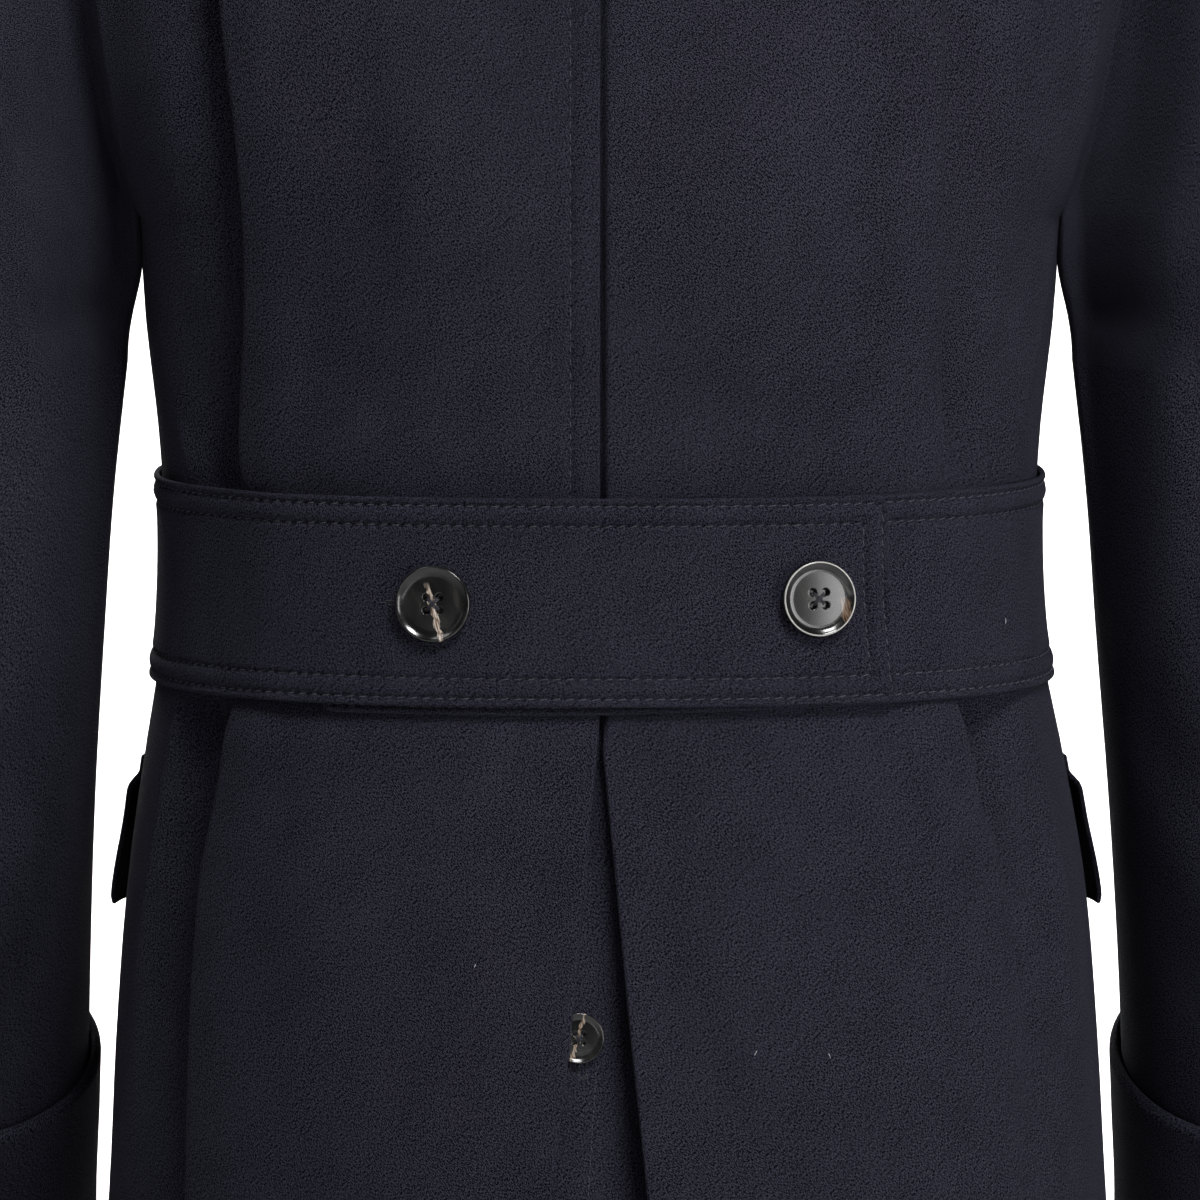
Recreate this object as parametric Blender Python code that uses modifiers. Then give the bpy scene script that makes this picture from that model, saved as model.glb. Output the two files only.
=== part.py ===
# A double-breasted polo coat with a half belt at the back, as worn with nobody inside.
# Metres. The front of the coat faces -Y, the back faces +Y, the wearer's left is +X, up is +Z.
# The origin is the middle of the neck at the height of the collar seam.
import bpy
import math
import numpy as np

# Cloth and gaps
WALL = 0.0020
BELT_WALL = 0.0022
SEAM_GAP = 0.0004
LAID_GAP = 0.0004

# Heights
HEM_Z = -1.120
ARMPIT_Z = -0.275
BELT_TOP_Z = -0.3798
BELT_BOTTOM_Z = -0.4602

# Body sections: height, half width at wearer's left, half width at wearer's right,
# depth to the back, depth to the front, squareness of the oval
BODY = [
    (-1.120, 0.236, 0.238, 0.196, 0.186, 2.25),
    (-0.950, 0.221, 0.225, 0.181, 0.172, 2.30),
    (-0.800, 0.208, 0.214, 0.169, 0.160, 2.35),
    (-0.660, 0.1985, 0.2045, 0.160, 0.150, 2.40),
    (-0.600, 0.1955, 0.2010, 0.156, 0.146, 2.42),
    (-0.540, 0.1905, 0.1955, 0.150, 0.141, 2.42),
    (-0.490, 0.1835, 0.1865, 0.143, 0.136, 2.42),
    (-0.450, 0.1775, 0.1785, 0.136, 0.132, 2.42),
    (-0.400, 0.1755, 0.1755, 0.132, 0.130, 2.42),
    (-0.360, 0.1780, 0.1775, 0.133, 0.132, 2.42),
    (-0.320, 0.1825, 0.1820, 0.136, 0.135, 2.42),
    (-0.275, 0.1860, 0.1860, 0.139, 0.137, 2.42),
    (-0.200, 0.2050, 0.2050, 0.139, 0.137, 2.42),
    (-0.050, 0.2450, 0.2450, 0.139, 0.137, 2.42),
]

# Side seam: height, angle from the centre back in degrees
SIDE_SEAM = [
    (-1.120, 78.0),
    (-0.660, 76.0),
    (-0.500, 71.0),
    (-0.420, 69.0),
    (-0.360, 71.0),
    (-0.275, 80.0),
]

# Long soft folds of the back: height, distance out at the left, distance out at the right
FOLD_LINE = [
    (-1.120, 0.182, 0.186),
    (-0.700, 0.166, 0.168),
    (-0.560, 0.159, 0.163),
    (-0.530, 0.156, 0.158),
    (-0.497, 0.149, 0.147),
    (-0.458, 0.142, 0.1385),
    (-0.376, 0.139, 0.1345),
    (-0.245, 0.140, 0.134),
    (-0.186, 0.147, 0.134),
    (-0.050, 0.150, 0.140),
]

# Depth of those folds: height, left, right
FOLD_DEPTH = [
    (-1.120, 0.002, 0.002),
    (-0.640, 0.002, 0.002),
    (-0.570, 0.005, 0.005),
    (-0.500, 0.009, 0.007),
    (-0.462, 0.008, 0.006),
    (-0.450, 0.003, 0.002),
    (-0.390, 0.003, 0.002),
    (-0.378, 0.007, 0.005),
    (-0.300, 0.008, 0.003),
    (-0.200, 0.006, 0.002),
    (-0.120, 0.002, 0.001),
    (-0.050, 0.000, 0.000),
]

# Centre back edges: height, edge of the left panel, edge of the right panel
CENTRE_EDGES = [
    (-1.120, 0.0380, -0.0380),
    (-0.800, 0.0275, -0.0275),
    (-0.653, 0.0200, -0.0195),
    (-0.590, 0.0125, -0.0130),
    (-0.528, 0.0072, -0.0070),
    (-0.480, 0.0024, -0.0022),
    (-0.462, 0.0010, -0.0004),
    (-0.445, 0.0010, 0.0040),
    (-0.420, 0.0010, 0.0080),
    (0.000, 0.0010, 0.0080),
]

# Columns of a back panel from its centre edge to the side, and of a front panel likewise
BACK_FOLD_SHARE = 0.60
BACK_COLUMNS = [0.0, 0.035, 0.08, 0.17, 0.27, 0.37, 0.46, 0.53, 0.575, 0.597, 0.612, 0.635, 0.67,
                0.73, 0.81, 0.90, 1.0]
FRONT_COLUMNS = [0.0, 0.07, 0.15, 0.25, 0.35, 0.45, 0.55, 0.65, 0.74, 0.82, 0.89, 0.95, 1.0]
BACK_ROWS_Z = [-1.12, -1.03, -0.94, -0.85, -0.77, -0.70, -0.64, -0.59, -0.545, -0.505, -0.48,
               -0.462, -0.445, -0.42, -0.395, -0.378, -0.355, -0.325, -0.30]
FRONT_ROWS_Z = [-1.12, -1.02, -0.92, -0.82, -0.745, -0.68, -0.61, -0.558, -0.512, -0.48, -0.455,
                -0.435, -0.41, -0.38, -0.33]
UPPER_ROWS = [0.0, 0.11, 0.24, 0.40, 0.58, 0.76, 0.92, 1.0]

# Neck, shoulder and armhole
NECK_HALF = 0.075
NECK_BACK = 0.075
NECK_SIDE_Z = 0.025
NECK_SHARE = 0.33
SHOULDER_X = 0.215
SHOULDER_Z = -0.045
ARMHOLE_OUT = 0.012
ARMHOLE_DEEP = 0.045
ARMHOLE_RISE = 0.030

# Front edges, lapels and collar
FRONT_EDGE_X = 0.085
BREAK_Z = -0.255
ROLL_SHARE = 0.45
GORGE_SHARE = 0.72
PEAK_X = 0.132
PEAK_Z = -0.072
UNDER_LAP = 0.0032
UNDER_LAPEL = 0.0085
COLLAR_STAND = 0.040
# Share of the neckline that goes round the neck, the rest runs down to the gorge
NECKLINE_SHARE = 0.62

# Sleeve rings below the cap: middle height, inner side, half width, middle depth, half depth,
# forward tilt in degrees
SLEEVE = [
    (-0.335, 0.1905, 0.0680, 0.000, 0.0760, 0.0),
    (-0.390, 0.1963, 0.0665, 0.001, 0.0745, 4.0),
    (-0.450, 0.2008, 0.0650, -0.005, 0.0720, 12.0),
    (-0.510, 0.2052, 0.0630, -0.023, 0.0695, 21.0),
    (-0.570, 0.2086, 0.0615, -0.049, 0.0670, 26.0),
    (-0.640, 0.2117, 0.0595, -0.083, 0.0645, 27.0),
    (-0.715, 0.2140, 0.0580, -0.121, 0.0620, 27.0),
]
SLEEVE_SIDES = 20
# Sleeve seams as steps round from the inner side: the under sleeve runs from the front seam to
# the back one, the top sleeve on from there
FRONT_SEAM_STEP = -4
BACK_SEAM_STEP = 5
SLEEVE_SEAM_HALF = 0.0035
SLEEVE_SEAM_BAND = 0.07
CUFF_SHARE = 0.80

# Half belt: where the over piece and the under piece end at the back, how far the under piece
# hangs lower, and how far round each one goes
OVER_END_X = -0.1130
UNDER_END_X = 0.1050
UNDER_DROP = 0.0030
BELT_REACH_DEG = 100.0
OVER_STEP = BELT_WALL + 0.0008
BELT_LIFT = 0.0009

# Pockets: shares of the front's width and heights of the patch and of its flap
PATCH_SHARES = [0.49, 0.81]
PATCH_HEIGHTS = [-0.745, -0.512]
FLAP_SHARES = [0.475, 0.825]
FLAP_HEIGHTS = [-0.5580, -0.5555, -0.540, -0.525, -0.512, -0.5035, -0.4980]

# Buttons
BIG_BUTTON_R = 0.0150
SMALL_BUTTON_R = 0.0100
BUTTON_THICK_SHARE = 0.28
HOLE_PLACE_SHARE = 0.17
HOLE_BORE_SHARE = 0.095
# Belt and vent buttons: distance out and height
BELT_BUTTONS = [("belt_button_left", 0.0636, -0.4208), ("belt_button_right", -0.0831, -0.4192)]
VENT_BUTTON_X = 0.0086
VENT_BUTTON_Z = -0.5890
VENT_BUTTON_THICK = 0.0026
FRONT_BUTTON_X = 0.058
# Rows of front buttons: height, how far the seat lies off the oval at the left and at the right
FRONT_BUTTON_ROWS = [
    (-0.310, -0.0006, 0.0001),
    (-0.430, -0.0004, 0.0003),
    (-0.550, -0.0006, 0.0003),
]


def smooth(table, column, z):
    """Value of a column of a table at height z, by a smooth curve through its rows."""
    rows = sorted(table)
    zs = np.array([row[0] for row in rows])
    vs = np.array([row[column] for row in rows])
    slopes = np.gradient(vs, zs)
    z = np.clip(np.asarray(z, dtype=float), zs[0], zs[-1])
    k = np.clip(np.searchsorted(zs, z) - 1, 0, len(zs) - 2)
    h = zs[k + 1] - zs[k]
    t = (z - zs[k]) / h
    h00 = 2 * t**3 - 3 * t**2 + 1
    h10 = t**3 - 2 * t**2 + t
    h01 = -2 * t**3 + 3 * t**2
    h11 = t**3 - t**2
    return h00 * vs[k] + h10 * h * slopes[k] + h01 * vs[k + 1] + h11 * h * slopes[k + 1]


def ease(x, low, high):
    """Smooth step from 0 at low to 1 at high."""
    t = np.clip((np.asarray(x, dtype=float) - low) / (high - low), 0.0, 1.0)
    return t * t * (3 - 2 * t)


def mound(x, width):
    """Bell of height 1 at 0 that falls away over the width."""
    return np.exp(-(np.asarray(x, dtype=float) / width) ** 2)


def oval(angle, z):
    """Point of the body section at height z and the angle from the centre back, + to the left."""
    sine = np.sin(angle)
    cosine = np.cos(angle)
    half = np.where(sine > 0, smooth(BODY, 1, z), smooth(BODY, 2, z))
    deep = np.where(cosine > 0, smooth(BODY, 3, z), smooth(BODY, 4, z))
    power = smooth(BODY, 5, z)
    reach = ((np.abs(sine) / half) ** power + (np.abs(cosine) / deep) ** power) ** (-1 / power)
    return np.stack([reach * sine, reach * cosine, z + 0 * angle], axis=-1)


def angle_at(x, z, front=False):
    """Angle of the body section's point that stands x out from the middle."""
    half = np.where(x > 0, smooth(BODY, 1, z), smooth(BODY, 2, z))
    deep = smooth(BODY, 4 if front else 3, z)
    power = smooth(BODY, 5, z)
    share = np.clip(np.abs(x) / half, 0, 0.9999)
    y = deep * (1 - share**power) ** (1 / power)
    return np.arctan2(x, -y if front else y)


def unit(v):
    """Vectors made one long."""
    return v / np.maximum(np.linalg.norm(v, axis=-1, keepdims=True), 1e-12)


def bezier(p0, p1, p2, p3, t):
    """Cubic curve through p0 and p3, pulled by p1 and p2."""
    t = np.asarray(t, dtype=float)[..., None]
    return (1 - t)**3 * p0 + 3 * (1 - t)**2 * t * p1 + 3 * (1 - t) * t**2 * p2 + t**3 * p3


def facing(surface, s, t, side):
    """Outward normals and outward-running tangents of a panel surface at s and t."""
    step = 1e-4
    along = surface(s + step, t) - surface(s - step, t)
    up = surface(s, t + step) - surface(s, t - step)
    return unit(np.cross(up, along)) * side, unit(along)


def shoulder_z(x):
    """Height of the shoulder seam above a distance x out from the middle."""
    share = np.clip((np.abs(x) - NECK_HALF) / (SHOULDER_X - NECK_HALF), 0, 1.2)
    return NECK_SIDE_Z + (SHOULDER_Z - NECK_SIDE_Z) * share


def back_angle(side, s, z):
    """Angle of a back panel's line s at height z."""
    column = 1 if side > 0 else 2
    edge = angle_at(smooth(CENTRE_EDGES, column, z), z)
    fold = angle_at(side * smooth(FOLD_LINE, column, z), z)
    seam = side * np.radians(smooth(SIDE_SEAM, 1, z))
    inner = edge + (fold - edge) * s / BACK_FOLD_SHARE
    outer = fold + (seam - fold) * (s - BACK_FOLD_SHARE) / (1 - BACK_FOLD_SHARE)
    return np.where(s < BACK_FOLD_SHARE, inner, outer)


def neck_and_shoulder(side, s):
    """Top edge of a back panel: half the neck, then the shoulder seam."""
    turn = np.clip(s / NECK_SHARE, 0, 1) * math.pi / 2
    out = np.clip((s - NECK_SHARE) / (1 - NECK_SHARE), 0, 1)
    x = NECK_HALF * np.sin(turn) + (SHOULDER_X - NECK_HALF) * out
    y = NECK_BACK * np.cos(turn)
    z = NECK_SIDE_Z * (1 - np.cos(turn)) + (SHOULDER_Z - NECK_SIDE_Z) * out
    return np.stack([x * side, y, z], axis=-1)


def back_base(side):
    """Smooth form of a back panel: t below 1 is hem to armpit level, 1 to 2 is up to the top."""
    def surface(s, t):
        s, t = np.broadcast_arrays(np.asarray(s, float), np.asarray(t, float))
        z = HEM_Z + (ARMPIT_Z - HEM_Z) * np.minimum(t, 1.0)
        low = oval(back_angle(side, s, z), z)
        foot = oval(back_angle(side, s, np.full_like(z, ARMPIT_Z)), np.full_like(z, ARMPIT_Z))
        under = oval(back_angle(side, s, np.full_like(z, ARMPIT_Z - 0.002)),
                     np.full_like(z, ARMPIT_Z - 0.002))
        rise = unit(foot - under)
        top = neck_and_shoulder(side, s)
        neck = 1 - ease(s, 0.10, 0.50)
        lean = np.stack([0 * s, -0.95 + 0.60 * neck, 0.04 + 0.90 * neck], axis=-1)
        hole = np.clip(s, 0, 1) ** 5
        skew = np.stack([side * ARMHOLE_OUT * hole, ARMHOLE_DEEP * hole, 0 * s], axis=-1)
        lift = (0.085 - (0.085 - ARMHOLE_RISE) * hole)[..., None]
        p1 = foot + rise * lift + skew
        p2 = top - unit(lean) * 0.09
        p2 = p2 + np.stack([side * 0.006 * hole, 0 * s, 0 * s], axis=-1)
        high = bezier(foot, p1, p2, top, np.clip(t - 1, -0.01, 1.01))
        return np.where((t < 1)[..., None], low, high)
    return surface


def back_panel(side, s, t):
    """Back panel with its long folds, its lapped centre seam and its vent edge."""
    surface = back_base(side)
    column = 1 if side > 0 else 2
    s, t = np.broadcast_arrays(np.asarray(s, float), np.asarray(t, float))
    base = surface(s, t)
    normal, along = facing(surface, np.clip(s, 1e-3, 1 - 1e-3), t, side)
    z = base[..., 2]
    out = base[..., 0] * side - smooth(FOLD_LINE, column, z)
    depth = smooth(FOLD_DEPTH, column, z)
    valley = mound(out - 0.0075, 0.0075)
    ridge = mound(out + 0.009, 0.013)
    lift = depth * (0.18 * ridge - 0.85 * valley)
    slide = depth * 0.40 * mound(out + 0.001, 0.005)
    x = base[..., 0]
    if side < 0:
        lapped = ease(z, -0.478, -0.464)
        lift = lift - (WALL + 0.0006) * ease(x, -0.014, -0.003) * lapped
    vent = ease(-z, 0.470, 0.520)
    lift = lift + 0.0012 * vent * mound(np.abs(x) - np.abs(smooth(CENTRE_EDGES, column, z)), 0.012)
    return base + normal * lift[..., None] + along * slide[..., None]


def chest(x, z):
    """Depth of the front of the coat above the armpits, the same at both sides."""
    seam = shoulder_z(x)
    share = np.clip((seam - z) / (seam - ARMPIT_Z), 0.0, 1.0)
    round_in = (1 - (1 - share) ** 2) ** 0.6
    half = smooth(BODY, 1, z)
    power = smooth(BODY, 5, z)
    side_in = (1 - np.clip(np.abs(x) / half, 0, 0.999) ** power) ** (1 / power)
    return -smooth(BODY, 4, z) * round_in * side_in


def front_edge_x(z):
    """How far past the middle the left front reaches at height z, down its roll line and edge."""
    share = np.clip((z - BREAK_Z) / (NECK_SIDE_Z - BREAK_Z), 0, 1)
    return -FRONT_EDGE_X + (FRONT_EDGE_X + NECK_HALF) * share


def front_angle(side, s, z):
    """Angle of a front panel's line s at height z."""
    edge = angle_at(-side * FRONT_EDGE_X + 0 * z, z, front=True)
    seam = side * np.radians(smooth(SIDE_SEAM, 1, z))
    edge = np.where(side * edge < 0, edge + side * 2 * math.pi, edge)
    return edge + (seam - edge) * s


def front_base(side):
    """Smooth form of a front panel: s runs from the front edge to the side."""
    def surface(s, t):
        s, t = np.broadcast_arrays(np.asarray(s, float), np.asarray(t, float))
        z = HEM_Z + (ARMPIT_Z - HEM_Z) * np.minimum(t, 1.0)
        low = oval(front_angle(side, s, z), z)
        level = np.full_like(z, ARMPIT_Z)
        foot = oval(front_angle(side, s, level), level)
        under = oval(front_angle(side, s, level - 0.002), level - 0.002)
        rise = unit(foot - under)
        roll = np.clip(s / ROLL_SHARE, 0, 1)
        out = np.clip((s - ROLL_SHARE) / (1 - ROLL_SHARE), 0, 1)
        top_x = -FRONT_EDGE_X + (FRONT_EDGE_X + NECK_HALF) * roll + (SHOULDER_X - NECK_HALF) * out
        top_z = BREAK_Z + (NECK_SIDE_Z - BREAK_Z) * roll + (SHOULDER_Z - NECK_SIDE_Z) * out
        v = np.clip(t - 1, 0, 1)
        flat_x = foot[..., 0] + (side * top_x - foot[..., 0]) * v
        flat_z = ARMPIT_Z + (top_z - ARMPIT_Z) * v
        flat = np.stack([flat_x, chest(flat_x, flat_z), flat_z], axis=-1)
        top = np.stack([side * top_x, 0 * s, top_z], axis=-1)
        hole = np.clip(s, 0, 1) ** 5
        skew = np.stack([side * 0.008 * hole, -ARMHOLE_DEEP * hole, 0 * s], axis=-1)
        lift = (0.085 - (0.085 - ARMHOLE_RISE) * hole)[..., None]
        lean = unit(np.stack([0 * s, 0.95 + 0 * s, 0.04 + 0 * s], axis=-1))
        p2 = top - lean * 0.080
        curved = bezier(foot, foot + rise * lift + skew, p2, top, v)
        mix = ease(s, 0.55, 0.90)[..., None]
        high = flat * (1 - mix) + curved * mix
        return np.where((t < 1)[..., None], low, high)
    return surface


def front_lift(side, x, z):
    """The right front passes under the left one."""
    if side > 0:
        return 0 * x
    depth = UNDER_LAP + (UNDER_LAPEL - UNDER_LAP) * ease(z, -0.34, -0.28)
    return -depth * ease(x - front_edge_x(z), -0.090, -0.012)


def front_panel(side, s, t):
    """Front panel with its overlap."""
    surface = front_base(side)
    s, t = np.broadcast_arrays(np.asarray(s, float), np.asarray(t, float))
    base = surface(s, t)
    normal = facing(surface, np.clip(s, 2e-3, 1 - 2e-3), np.clip(t, 0, 1.995), -side)[0]
    return base + normal * front_lift(side, base[..., 0], base[..., 2])[..., None]


def on_body(angle, z, lift):
    """Point lifted off the smooth body below the armpits."""
    step = 1e-4
    across = oval(angle + step, z) - oval(angle - step, z)
    up = oval(angle, z + step) - oval(angle, z - step)
    normal = unit(np.cross(across, up))
    flip = np.sign(np.sum(normal * oval(angle, z), axis=-1, keepdims=True))
    return oval(angle, z) + normal * flip * np.asarray(lift)[..., None]


def on_chest(side, x, z, lift):
    """Point lifted off the front above the armpits, or off the body below them."""
    def point(px, pz):
        deep = smooth(BODY, 4, pz)
        half = np.where(px > 0, smooth(BODY, 1, pz), smooth(BODY, 2, pz))
        power = smooth(BODY, 5, pz)
        low = -deep * (1 - np.clip(np.abs(px) / half, 0, 0.999) ** power) ** (1 / power)
        return np.stack([px, np.where(pz > ARMPIT_Z, chest(px, pz), low), pz], axis=-1)
    step = 1e-4
    normal = unit(np.cross(point(x + step, z) - point(x - step, z),
                           point(x, z + step) - point(x, z - step)))
    lift = lift + front_lift(side, x, z)
    return point(x, z) + normal * lift[..., None]


def start_scene():
    """Empty the scene and make the two collections."""
    for item in list(bpy.data.objects):
        bpy.data.objects.remove(item, do_unlink=True)
    parts = bpy.data.collections.new("polo_coat")
    cutters = bpy.data.collections.new("cutters")
    bpy.context.scene.collection.children.link(parts)
    bpy.context.scene.collection.children.link(cutters)
    return parts, cutters


def cloth_material(name, colour):
    """Dull wool."""
    mat = bpy.data.materials.new(name)
    mat.use_nodes = True
    shader = mat.node_tree.nodes["Principled BSDF"]
    shader.inputs["Base Color"].default_value = (*colour, 1.0)
    shader.inputs["Roughness"].default_value = 0.9
    return mat


def horn_material(name):
    """Polished dark horn."""
    mat = bpy.data.materials.new(name)
    mat.use_nodes = True
    shader = mat.node_tree.nodes["Principled BSDF"]
    shader.inputs["Base Color"].default_value = (0.020, 0.016, 0.015, 1.0)
    shader.inputs["Roughness"].default_value = 0.25
    return mat


def sheet(parts, name, points, wall, outward, closed=False, flip=False):
    """Open surface through rows of points, thickened to the wall on one side."""
    rows, columns = points.shape[:2]
    faces = []
    last = columns if closed else columns - 1
    for i in range(rows - 1):
        for j in range(last):
            k = (j + 1) % columns
            face = [i * columns + j, i * columns + k, (i + 1) * columns + k, (i + 1) * columns + j]
            faces.append(face[::-1] if flip else face)
    mesh = bpy.data.meshes.new(name)
    mesh.from_pydata([tuple(p) for p in points.reshape(-1, 3)], [], faces)
    mesh.polygons.foreach_set("use_smooth", [True] * len(mesh.polygons))
    item = bpy.data.objects.new(name, mesh)
    parts.objects.link(item)
    thick = item.modifiers.new("wall", "SOLIDIFY")
    thick.thickness = wall
    thick.offset = 1.0 if outward else -1.0
    thick.use_even_offset = True
    item.data.materials.append(cloth_material(name + "_wool", (0.014, 0.015, 0.024)))
    return item


def make_backs(parts):
    """Two back panels, the left one lapped over the right one at the centre."""
    t_low = [(z - HEM_Z) / (ARMPIT_Z - HEM_Z) for z in BACK_ROWS_Z]
    t = np.array(t_low + [1 + v for v in UPPER_ROWS])[:, None]
    s = np.array(BACK_COLUMNS)[None, :]
    s = np.minimum(s, 1 - SEAM_GAP / 0.12)
    t = np.minimum(t, 2 - SEAM_GAP / 0.2)
    for side, name in ((1, "back_left"), (-1, "back_right")):
        sheet(parts, name, back_panel(side, s, t), WALL, False, flip=side > 0)


def make_fronts(parts):
    """Two front panels, the left one over the right one."""
    t_low = [(z - HEM_Z) / (ARMPIT_Z - HEM_Z) for z in FRONT_ROWS_Z]
    t = np.array(t_low + [1 + v for v in UPPER_ROWS])[:, None]
    s = np.array(FRONT_COLUMNS)[None, :]
    s = np.minimum(s, 1 - SEAM_GAP / 0.20)
    t = np.minimum(t, 2 - SEAM_GAP / 0.2)
    for side, name in ((1, "front_left"), (-1, "front_right")):
        sheet(parts, name, front_panel(side, s, t), WALL, False, flip=side < 0)


def vent_underlay(x, z):
    """Cloth behind the vent: close behind the left edge, deeper behind the right one."""
    deep = 0.0052 + 0.0110 * ease(-x, -0.012, 0.024) * ease(-z, 0.470, 0.600)
    return on_body(angle_at(x, z), z, -deep)


def make_vent(parts):
    """The cloth that fills the vent below the belt."""
    z = np.array([-1.110, -1.00, -0.90, -0.80, -0.71, -0.64, -0.58, -0.53, -0.49, -0.450])[:, None]
    spread = 0.020 + 0.055 * ease(-z, 0.45, 1.12)
    u = np.array([-1.0, -0.6, -0.3, 0.0, 0.3, 0.6, 1.0])[None, :]
    sheet(parts, "vent_underlay", vent_underlay(u * spread, z + 0 * u), WALL, False, flip=True)


def sleeve_ring(angle, row):
    """Ring of the sleeve: angle 0 is its inner side, a quarter turn on is its back."""
    z, inner, half, deep, half_deep, tilt = row
    tilt = math.radians(tilt)
    x = inner + half - half * np.cos(angle)
    back = half_deep * np.sin(angle)
    return np.stack([x, deep + back * math.cos(tilt), z - back * math.sin(tilt)], axis=-1)


def armhole(angle):
    """Edge of the left armhole at the angle: 0 is the underarm, half a turn is the shoulder."""
    turn = np.mod(angle, 2 * math.pi)
    share = np.where(turn < math.pi, turn, 2 * math.pi - turn) / math.pi
    v = np.clip(share, 0, 1)
    back = back_base(1)(np.ones_like(v), 1 + v)
    front = front_base(1)(np.ones_like(v), 1 + v)
    return np.where((turn < math.pi)[..., None], back, front)


def sleeve_point(angle, t):
    """Point of the left sleeve: t 0 to 1 is the cap, 1 to 2 is the rings down to the hem."""
    angle, t = np.broadcast_arrays(np.asarray(angle, float), np.asarray(t, float))
    top_share = (1 - np.cos(angle)) / 2
    leave = unit(np.stack([0.30 + 0.65 * ease(top_share, 0.0, 0.35), 0.50 * np.sin(angle),
                           -0.95 + 0.77 * ease(top_share, 0.0, 0.5)], axis=-1))
    edge = armhole(angle) + leave * SEAM_GAP
    ring = sleeve_ring(angle, SLEEVE[0])
    reach = (0.010 + 0.062 * top_share)[..., None]
    fall = (0.020 + 0.115 * top_share)[..., None]
    cap = bezier(edge, edge + leave * reach, ring + np.array([0, 0, 1.0]) * fall, ring,
                 np.clip(t, 0, 1))
    table = [(i / (len(SLEEVE) - 1), *row) for i, row in enumerate(SLEEVE)]
    u = np.clip(t - 1, 0, 1)
    values = [smooth(table, k, u) for k in range(1, 7)]
    z, inner, half, deep, half_deep, tilt = values
    tilt = np.radians(tilt)
    back = half_deep * np.sin(angle)
    low = np.stack([inner + half - half * np.cos(angle), deep + back * np.cos(tilt),
                    z - back * np.sin(tilt)], axis=-1)
    return np.where((t < 1)[..., None], cap, low)


def other_sleeve(points):
    """The same points at the wearer's right, where the forearm stands a little further out."""
    out = points * np.array([-1.0, 1.0, 1.0])
    out[..., 0] -= 0.0045 * ease(-points[..., 2], 0.42, 0.66)
    return out


def make_sleeves(parts):
    """Top and under sleeves, sewn at two seams, and the turned-back cuffs round their ends."""
    step = 2 * math.pi / SLEEVE_SIDES
    t = np.array([0, 0.07, 0.16, 0.28, 0.42, 0.58, 0.76, 1, 1.17, 1.34, 1.5, 1.67, 1.84, 2.0])
    for name, first, last in (("under", FRONT_SEAM_STEP, BACK_SEAM_STEP),
                              ("top", BACK_SEAM_STEP, FRONT_SEAM_STEP + SLEEVE_SIDES)):
        start = first * step
        end = last * step
        angle = np.concatenate([[start + SLEEVE_SEAM_HALF, start + SLEEVE_SEAM_BAND],
                                np.arange(first + 1, last) * step,
                                [end - SLEEVE_SEAM_BAND, end - SLEEVE_SEAM_HALF]])
        left = sleeve_point(angle[None, :], t[:, None])
        sheet(parts, "sleeve_left_" + name, left, WALL, False)
        sheet(parts, "sleeve_right_" + name, other_sleeve(left), WALL, False, flip=True)
    seams = np.array([FRONT_SEAM_STEP + SLEEVE_SIDES, BACK_SEAM_STEP]) * step
    angle = np.sort(np.concatenate([np.arange(SLEEVE_SIDES) * step, seams - SLEEVE_SEAM_BAND,
                                    seams + SLEEVE_SEAM_BAND]))
    u = np.array([CUFF_SHARE, CUFF_SHARE + 0.004, 0.86, 0.93, 1.0])
    out = np.array([0.0006, 0.0026, 0.0022, 0.0010, 0.0005])
    ring = sleeve_point(angle[None, :], 1 + u[:, None])
    middle = ring.mean(axis=1, keepdims=True)
    cuff = ring + unit(ring - middle) * out[:, None, None]
    sheet(parts, "cuff_left", cuff, WALL + 0.0004, True, closed=True)
    sheet(parts, "cuff_right", other_sleeve(cuff), WALL + 0.0004, True, closed=True, flip=True)


def belt_lift_under(x):
    """Height of the under piece's inner face off the body, more where it bridges a fold."""
    return BELT_LIFT + 0.0010 * mound(np.abs(x) - 0.133, 0.035)


def belt_lift_over(x):
    """Height of the over piece's inner face off the body."""
    return belt_lift_under(x) + OVER_STEP * ease(-x, -0.150, -0.122)


def make_belt(parts):
    """The two overlapping pieces of the half belt."""
    rows = np.array([0.0, 0.06, 0.5, 0.94, 1.0])[:, None]
    side = math.radians(BELT_REACH_DEG)
    over_end = angle_at(OVER_END_X, -0.42)
    angle = side + (over_end - side) * np.linspace(0, 1, 25)[None, :]
    z = BELT_BOTTOM_Z + (BELT_TOP_Z - BELT_BOTTOM_Z) * rows + 0 * angle
    angle = angle + 0 * z
    x = oval(angle, z)[..., 0]
    inner = belt_lift_over(x)
    sheet(parts, "belt_left", on_body(angle, z, inner), BELT_WALL, True, flip=False)
    under_end = angle_at(UNDER_END_X, -0.42)
    angle = -side + (under_end + side) * np.linspace(0, 1, 25)[None, :]
    drop = UNDER_DROP * ease(angle, -0.9, 0.2)
    z = BELT_BOTTOM_Z + (BELT_TOP_Z - BELT_BOTTOM_Z) * rows - drop
    angle = angle + 0 * z
    x = oval(angle, z)[..., 0]
    sheet(parts, "belt_right", on_body(angle, z, belt_lift_under(x)), BELT_WALL, True, flip=True)


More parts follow.
